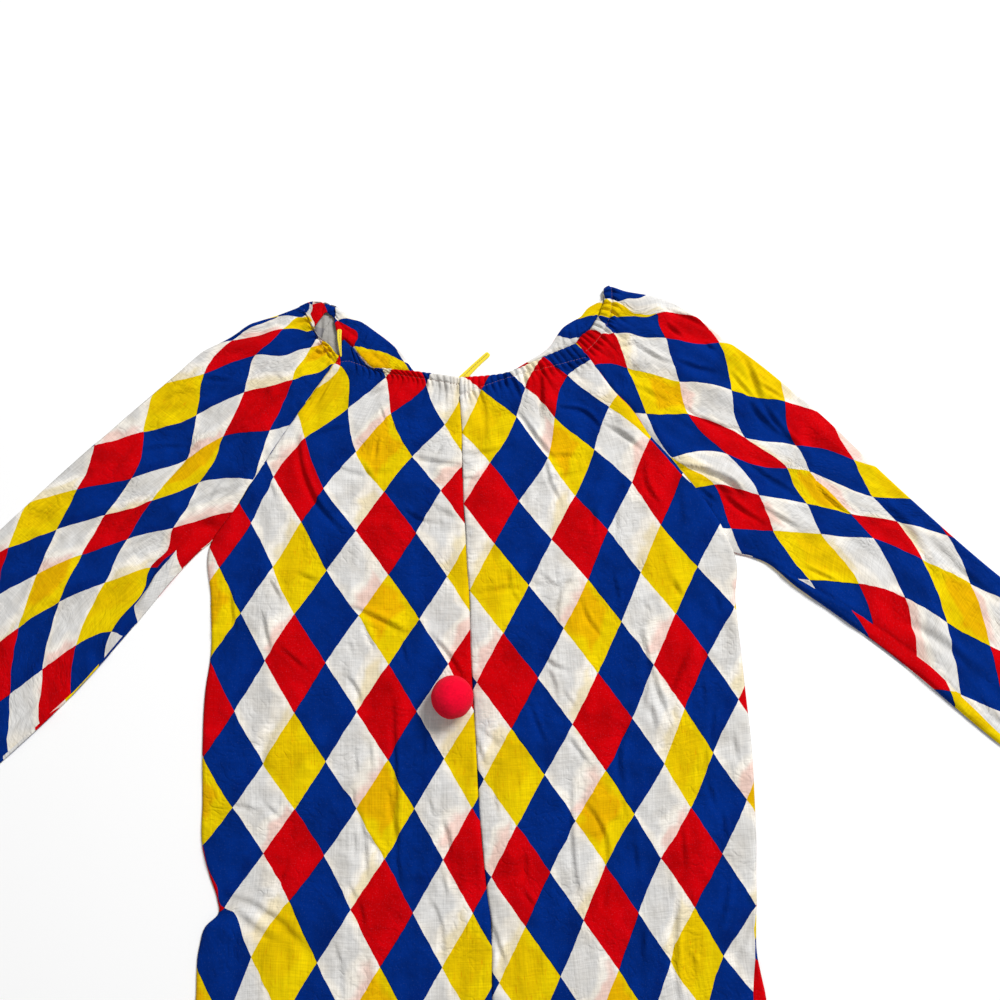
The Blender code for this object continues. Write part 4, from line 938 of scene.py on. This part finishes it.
def sleeve(side):
    data = sleeves[side]
    under, over = sleeveColumns[0], sleeveColumns[0] + sleeveColumns[1]
    grid = sleeveRows(side)
    down = distanceDown(grid[:, :over + 1, :2])
    at = steps(sleeveSpacing, down[-1])
    plan = throughPoints(down, grid, at)
    x, y, z = plan[..., 0].copy(), plan[..., 1].copy(), plan[..., 2].copy()
    below = np.repeat(at[:, None], x.shape[1], 1)
    gone = np.cumsum(np.hypot(np.diff(x, axis=1), np.diff(y, axis=1)), 1)    # from the underarm seam, round
    gone = np.concatenate([np.zeros((len(at), 1)), gone], 1)
    frontWidth = gone[:, over:over + 1]
    onFront = np.arange(x.shape[1])[None, :] <= over
    patch = fitPatch(x, y, data["tucked"][0], onFront[:, 1:]) if data["tucked"] else None
    turnedOver = (below < down[1] + 2) & ~onFront if data["crown"] else np.zeros(x.shape, bool)
    beneath = ~onFront & ~turnedOver
    raised, drawn = creaseField(x, y, data["folds"] + data["creases"])
    raised += wrinkles(x, y, below, (40, 1.0, 11.3), (24, 1.3, 4.1), (15, data["wrinkled"], 6.3),
                       data["drape"])
    along = gone / frontWidth * frontWidth[0, 0]
    gathered, pulled = gatherHeight(along, below, data["pleats"], casing)
    z = np.where(onFront, z + raised + gathered, z)
    gathered, _ = gatherHeight(along, below, data["backPleats"], casing)
    z = np.where(turnedOver, z + 0.8 * gathered, z)
    drawn = np.where(onFront[..., None], drawn + pulled[..., None] * edgeRun(x, y), 0)
    lying, _ = creaseField(x, y, data["backCreases"])
    z = np.where(beneath, z + np.clip(lying, 0, 3), z)
    fromFold, fromRaglan = frontWidth - gone, gone - gone[:, under:under + 1]
    armpitAt = down[armpitRow + 1 if data["crown"] else armpitRow]    # the crown's foot is a row more
    raglan = 1 / (1 + np.exp((below - armpitAt) / 4))
    z += np.where(onFront, seamRelief(fromRaglan, along + below, 1.1, 1.0, 9.4), 0)
    radius, height = underarmEdge
    z -= np.where(onFront, (1 - raglan) * (z - height) * turnedDown(gone, radius), 0)
    radius, height = topFold
    z -= np.where(onFront & (below >= down[1]), (z - height) * turnedDown(fromFold, radius), 0)
    radius, height = backFold
    z = np.where(beneath, z + np.maximum(height - z, 0) * turnedDown(-fromFold, radius), z)
    radius, height = backSeamEdge
    lifted = np.maximum(height - z, 0) * turnedDown(gone[:, -1:] - gone, radius, 1 - raglan)
    z = np.where(onFront, z, z + lifted)
    z -= np.where(onFront, sewnEdges(below, down[-1]), 0)
    points = np.stack([x, y, np.maximum(z, np.where(onFront, 1.5, 0))], -1)
    # cloth places: the back half unrolled past the fold, but not where it is turned over to the front
    foldPoint = np.stack([x[:, over], y[:, over]], -1)
    direction = foldPoint - np.stack([x[:, over - 8], y[:, over - 8]], -1)
    direction /= np.linalg.norm(direction, axis=1, keepdims=True)
    unrolled = foldPoint[:, None] - direction[:, None] * fromFold[..., None]
    inPlace = onFront | turnedOver
    clothX = np.where(inPlace, x + drawn[..., 0], unrolled[..., 0])
    clothY = np.where(inPlace, y + drawn[..., 1], unrolled[..., 1])
    cloth = faceCorners(pinnedMap(data["pins"], data["print"], data["far"])(clothX, clothY))
    # past the underarm seam the back half's cloth begins
    cloth[:, :under] += data["underOffset"]
    if data["underPrint"]:
        cloth[:, :under] = faceCorners(data["underPrint"](clothX, clothY))[:, :under]
    if data["tucked"]:
        cloth = np.where(patch[..., None, None], faceCorners(data["tucked"][1](clothX, clothY)), cloth)
    obj = makeCloth("sleeve_" + side, points, cloth, flip=side == "left")
    lines = [points[rowAt(at, casing), under:over + 1], points[rowAt(at, down[-1] - hem), :over + 1]]
    return obj, stitching("sleeve_" + side + "_stitches", lines)


sleeveLeft, sleeveLeftSewing = sleeve("left")
sleeveRight, sleeveRightSewing = sleeve("right")
print("sleeves made")


# from the turned fold down: slit x, y, left x, y, right x, y
backRows = [
    (-46, 262, -190, 386, 121, 391),
    (-46, 248, -197, 366, 132, 372),
    (-45, 228, -211, 331, 147, 340),
    (-44, 204, -229, 290, 165, 303),
    (-42, 178, -250, 242, 188, 258),
    (-41, 150, -271, 195, 213, 205),
    (-39, 124, -294, 148, 237, 146),
    (-37, 100, -315, 109, 255, 97),
]
# creases that the weight above has pressed into the layer on the floor
pressed = [(-70, 60, -180, -20, 8, 6, 0.5), (-60, 20, -120, -90, -5, 5, 0.45),
           (-250, 60, -190, -40, 6, 7, 0.5), (-90, -120, -200, -150, 9, 6, 0.45),
           (-130, -180, -110, -300, 6, 8, 0.5), (-260, -150, -220, -280, -7, 7, 0.5),
           (-60, -250, -160, -330, 5, 5, 0.4), (-120, -400, -190, -560, 10, 7, 0.5),
           (-250, -420, -230, -640, -6, 8, 0.5), (-150, -640, -180, -830, 8, 6, 0.45),
           (-290, -700, -260, -900, 5, 7, 0.5), (-120, -880, -220, -1010, 7, 6, 0.45),
           (-200, 180, -130, 90, 6, 6, 0.5), (-110, 190, -80, 110, -4, 5, 0.4)]
backs = {
    "left": {
        "fold": [(-46, 262), (-101, 306), (-114, 325), (-126, 337), (-145, 352), (-162, 364), (-173, 369),
                 (-182, 376), (-189, 382)],
        "edge": [(-60, 246), (-115, 282), (-147, 300), (-157, 312), (-166, 324), (-174, 334), (-186, 346),
                 (-191, 362)],
        "raised": [2.2, 2.2, 2.4, 4.6],    # height of the turned corner, from the middle out
        # how far the back's edge shows beside the front's: y, mm
        "shows": [(-200, -1), (-237, -2), (-290, -2), (-346, -1), (-380, 0)],
        "print": lattice(-150, 60, 0, flipped=True),
        "turnedPrint": slantLattice(-165, 334, (17, 6), (39, -25), (2, 0)),
        "turnedFar": [(-60, 262), (-130, 270)],
        "turnedPins": [(-167, 333, 2, 0), (-149, 330, 2.3, 0.3), (-132, 326, 2.6, 0.6), (-110, 315, 3, 1),
                       (-104, 306, 2.7, 1.3), (-164, 343, 2.25, -0.25), (-166, 352, 2.5, -0.5),
                       (-178, 359, 2.75, -0.75), (-187, 364, 3, -1), (-178, 367, 3.2, -0.8),
                       (-171, 366, 3.35, -0.65), (-159, 364, 3.5, -0.5), (-131, 350, 4, 0),
                       (-197, 350, 2, -2), (-184, 328, 1, -1)],
        # the neck edge that lies over it
        "over": [(-183, 333), (-180, 342), (-175, 338), (-168, 331), (-160, 320), (-150, 309), (-132, 307),
                 (-101, 304), (-46, 296)],
        "creases": pressed + [(-203, 372, -204, 332, 1, 2.6, 2.4), (-196, 366, -197, 334, 0, 2.4, 2.0)],
        "pleats": [(5, 20, 0.9, 1), (12, 30, 1.1, 2), (20, 14, 0.8, 0), (27, 26, 1.2, -2), (35, 18, 0.9, 1),
                   (44, 34, 1.2, 3), (52, 15, 0.8, 0), (60, 25, 1.0, 2), (69, 38, 1.3, 4), (77, 18, 0.8, 1),
                   (86, 28, 1.1, 3), (96, 16, 0.9, 0), (105, 33, 1.2, 2), (115, 20, 0.8, 1),
                   (124, 26, 1.0, 2), (134, 18, 0.9, 0), (143, 30, 1.1, 1), (153, 22, 0.9, 0),
                   (163, 26, 1.0, 1)],
    },
    "right": {
        "fold": [(-46, 262), (40, 320), (48, 325), (60, 336), (66, 346), (73, 356), (84, 364), (94, 370),
                 (102, 380), (121, 391)],
        "edge": [(-33, 246), (62, 300), (85, 330), (102, 352), (116, 371)],
        "raised": [2.2, 2.2, 2.2, 2.2],
        "shows": [(-200, -1), (-264, -1), (-290, -1), (-346, -2), (-380, 0)],
        "print": lattice(30, 60, 0, flipped=True),
        "turnedPrint": slantLattice(73, 354, (14, -11.5), (-39, -1.5), (6.4, 1.6)),
        "turnedFar": [(0, 262), (0, 330), (60, 290), (60, 390), (160, 380), (110, 420)],
        "turnedPins": [(93, 345, 6.75, 1.25), (92, 368, 5.3, 0.7), (112, 372, 5.7, 0.3),
                       (48, 322, 7.3, 2.3), (34, 317, 7.2, 2.4), (61, 340, 6.6, 2.1), (78, 335, 7.1, 1.6)],
        "over": [(-46, 296), (11, 303), (48, 320), (87, 337), (93, 346), (105, 356), (112, 368), (117, 380),
                 (121, 393)],
        "creases": [(-22 - x0, y0, -22 - x1, y1, -bow, width, height)
                    for x0, y0, x1, y1, bow, width, height in pressed],
        "pleats": [(6, 26, 1.1, 1), (13, 18, 0.9, 0), (21, 30, 1.2, -1), (30, 15, 0.8, 2), (38, 24, 1.0, 1),
                   (47, 33, 1.2, 3), (55, 17, 0.9, 0), (64, 26, 1.1, 2), (72, 20, 0.8, -1),
                   (81, 36, 1.3, 2), (90, 18, 0.9, 1), (98, 27, 1.1, 0), (108, 21, 1.0, 2),
                   (117, 30, 1.2, 1), (126, 17, 0.8, 0), (136, 25, 1.0, 1), (147, 20, 0.9, 0),
                   (157, 28, 1.1, 1)],
    },
}


backColumns = 110
backEdge = {"radius": 4, "sideLift": 1.1, "slitLift": 0.5}
cornerGathers = 0.75    # how much of the neck's gathers the turned corners take
pressedTo = 1.05    # how low the neck edge presses a turned corner


def backRowsLaid(side):
    # the rows from the turned corner's free edge, round its fold and down to the ankle: x, y, z
    data = backs[side]
    outer, outward = outerColumn[side], -1 if side == "left" else 1
    edge, fold = smoothPath(data["edge"], backColumns), smoothPath(data["fold"], backColumns)
    run = np.gradient(fold, axis=0)
    inwards = outward * np.stack([run[:, 1], -run[:, 0]], -1) / np.linalg.norm(run, axis=1)[:, None]
    top = np.interp(np.linspace(0, 1, backColumns + 1), np.linspace(0, 1, 4), data["raised"])
    flat = np.zeros(backColumns + 1)
    rows = [np.c_[edge, top], np.c_[fold * 0.6 + edge * 0.4, top], np.c_[fold + inwards * 1.2, top + 0.2],
            np.c_[fold - inwards * 0.9, flat + 1.2], np.c_[fold + inwards * 1.2, flat]]
    ends = [(row[0:2], row[outer:outer + 2]) for row in backRows[1:]]
    shows = np.array(data["shows"], float)
    for row in frontRows[armpitRow + 1:]:
        shown = np.interp(-row[1], -shows[:, 0], shows[:, 1])
        ends.append((row[0:2], (row[outer] + outward * shown, row[1])))
    ends += [((inner, y), (out, y)) for y, inner, out in legEnds(side)]
    return np.array(rows + [np.c_[smoothPath(pair, backColumns), flat] for pair in ends])


def backPanel(side):
    data = backs[side]
    rows = backRowsLaid(side)
    down = distanceDown(rows)
    spacing = [(0, 1.4), (down[2] - 4, 0.8), (down[4] + 3, 2.6), (down[4] + 90, 6.0), (down[4] + 540, 12.0)]
    at = np.unique(np.r_[steps(spacing, down[-1]), down[2:5]])
    plan = throughPoints(down, rows, at)
    x, y, z = plan[..., 0], plan[..., 1], plan[..., 2]
    width = np.linalg.norm(np.diff(plan[..., :2], axis=1), axis=2).sum(1)[:, None]
    share = np.linspace(0, 1, backColumns + 1)
    below = np.repeat(at[:, None], x.shape[1], 1)
    turned = below < down[3]
    gathered, pulled = gatherHeight(share * width[0, 0] * np.ones_like(x), below, data["pleats"], casing)
    settled = np.clip((down[2] - below) / 3, 0, 1)
    z = np.where(turned, z + (cornerGathers * gathered + 0.5 * crumple(x, y, 16, 1.7)) * settled, z)
    over = np.array(data["over"], float)
    # where the neck edge doesn't press it down
    free = np.clip((y - np.interp(x, over[:, 0], over[:, 1])) / 2.5, 0, 1)
    z = np.where(turned, pressedTo + (np.maximum(z, pressedTo) - pressedTo) * free, z)
    lying = np.clip((below - down[4]) / 20, 0, 1)
    z = z + backEdge["sideLift"] * turnedDown((1 - share) * width, backEdge["radius"], lying)
    z = z + backEdge["slitLift"] * turnedDown(share * width, backEdge["radius"], lying)
    raised, _ = creaseField(x, y, data["creases"])
    z = np.where(turned, z, np.maximum(z + raised * lying, 0))
    # cloth places: the turned corner shows another part of the repeat than the rest
    shifted = plan[..., :2] + edgeRun(x, y) * (cornerGathers * pulled * settled)[..., None]
    toCloth = pinnedMap(data["turnedPins"], data["turnedPrint"], data["turnedFar"])
    own = toCloth(shifted[..., 0], shifted[..., 1])
    cloth = np.where((below <= down[3] + 0.01)[..., None], own, data["print"](x, y))
    return makeCloth("back_" + side, np.stack([x, y, z], -1), faceCorners(cloth), flip=side == "right")


backLeft, backRight = backPanel("left"), backPanel("right")
print("backs made")


pompom = {"x": -49, "y": -55.6, "bottom": 3.0, "diameter": 43.4, "squash": 0.95, "lump": 0.45}


def feltBall():
    bpy.ops.mesh.primitive_ico_sphere_add(subdivisions=6, radius=pompom["diameter"] / 2 * mm)
    obj = bpy.context.object
    obj.name = "pompom_felt"
    centre = Vector((pompom["x"] - frameCentre[0], pompom["y"] - frameCentre[1], 0)) * mm
    tall = pompom["diameter"] * pompom["squash"]
    centre.z = (pompom["bottom"] + tall / 2) * mm
    for vertex in obj.data.vertices:
        out = vertex.co.normalized()
        lumps = noise.noise(out * 2.2) * 1.2 + noise.noise(out * 6.0) * 0.35
        vertex.co += out * lumps * pompom["lump"] * mm
        vertex.co.z *= pompom["squash"]
        vertex.co += centre
        vertex.co.z = max(vertex.co.z, pompom["bottom"] * mm)
    bpy.ops.object.shade_smooth()
    obj.data.materials.append(plainMatt("crimson felt", "#E4002A", roughness=0.95, grain=420.0, sheen=0.04))
    obj.select_set(False)
    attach(obj, "root")
    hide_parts("pompom")
    return obj


feltBall()
print("pompom made")


# middle line and underside: x, y, z
ties = {
    "tie_centre": {
        "widths": [10.5, 9.0, 7.5, 6.6, 6.4],
        "line": [(-55.5, 282, 0.1), (-48, 290, 0.1), (-38.5, 300.5, 0.1), (-25, 314.5, 0.1),
                 (-12.8, 326, 0.1)],
    },
    "tie_shoulder": {
        "widths": [5.6, 4.8, 3.2, 1.8],
        "line": [(-184.6, 353, 5.4), (-184.3, 343, 5.6), (-183, 332, 5.8), (-181.5, 320, 5.2)],
    },
}
tapeThick, roundedEnd = 1.3, 1.6
lineSteps = 60
groove = 0.15    # where the two edges meet, as a share of half the width
tapeYellow = plainMatt("yellow cotton tape", "#F2DC3C", grain=1400.0)


def tape(name):
    # a strip of cloth folded in half: two rounded edges and a groove between them
    data = ties[name]
    line = smoothPath(data["line"], lineSteps)
    widths = np.interp(np.linspace(0, 1, lineSteps + 1), np.linspace(0, 1, len(data["widths"])),
                       data["widths"])
    run = np.gradient(line, axis=0)
    run /= np.linalg.norm(run, axis=1)[:, None]
    across = np.stack([-run[:, 1], run[:, 0], np.zeros(len(run))], -1)
    upper, lower = np.linspace(1, -1, 31), np.linspace(-1, 1, 13)[1:-1]
    wide = np.r_[upper, lower]
    grooved = 1 - 1.4 * np.exp(-((upper - groove) / 0.16) ** 2)
    high = np.sqrt(1 - np.abs(wide) ** 3) * np.r_[grooved, -np.ones(len(lower))]
    rings = []
    for i in range(lineSteps + 1):
        fromEnd = min(i, lineSteps - i) / lineSteps * len(line) * np.linalg.norm(line[1] - line[0])
        narrow = np.sqrt(1 - np.clip(1 - fromEnd / roundedEnd, 0, 0.8) ** 2)
        middle = line[i] + [0, 0, tapeThick / 2]
        rings.append(middle + across[i] * (wide * widths[i] / 2 * narrow)[:, None]
                     + np.array([0, 0, 1]) * (high * tapeThick / 2)[:, None])
    obj = meshObject(name + "_tape", rings, tubeFaces(0, len(wide), len(rings)), [tapeYellow])
    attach(obj, "root")
    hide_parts(name)
    stitching(name + "_stitches", [line + across * groove * widths[:, None] / 2 + [0, 0, tapeThick / 2]])
    return obj, (line + [0, 0, tapeThick / 2] - frameCentre) * mm


centreTie, centreLine = tape("tie_centre")
tape("tie_shoulder")
tieLength = float(np.linalg.norm(np.diff(centreLine, axis=0), axis=1).sum())
print("centre tie", round(tieLength, 4))
tuple(centreLine[0])
[tuple(p) for p in centreLine]


bpy.ops.mesh.primitive_plane_add(size=12, location=(0, 0, -0.0005))
floor = bpy.context.object
floor.name = "floor"
floorPaper, _, _ = newFinish("white studio paper", {"Base Color": hexColour("#FFFFFF"), "Roughness": 0.9})
floor.data.materials.append(floorPaper)

studio = {"key": (2.4, 3.0, 3.6, 1.7, 268.0), "fill": (-1.9, -0.8, 2.4, 2.2, 4.0)}    # x, y, z, size, watts
for name, (x, y, z, size, watts) in studio.items():
    bpy.ops.object.light_add(type="AREA", location=(x, y, z))
    lamp = bpy.context.object
    lamp.name = name
    lamp.data.size, lamp.data.energy = size, watts
    lamp.rotation_euler = (Vector((0, 0.3, 0)) - lamp.location).to_track_quat("-Z", "Y").to_euler()
sky = bpy.data.worlds.new("studio")
bpy.context.scene.world = sky
sky.use_nodes = True
sky.node_tree.nodes["Background"].inputs["Color"].default_value = (1, 1, 1, 1)
sky.node_tree.nodes["Background"].inputs["Strength"].default_value = 0.33
bpy.context.scene.view_settings.view_transform = "Standard"

view = {"lens": 27.04, "height": 0.818, "tilt": 10.7}
bpy.ops.object.camera_add(location=(-frameCentre[0] * mm, -frameCentre[1] * mm, view["height"]),
                          rotation=(math.radians(view["tilt"]), 0, 0))
camera = bpy.context.object
camera.data.lens, camera.data.sensor_width = view["lens"], 36
camera.data.clip_start, camera.data.clip_end = 0.05, 20
bpy.context.scene.camera = camera
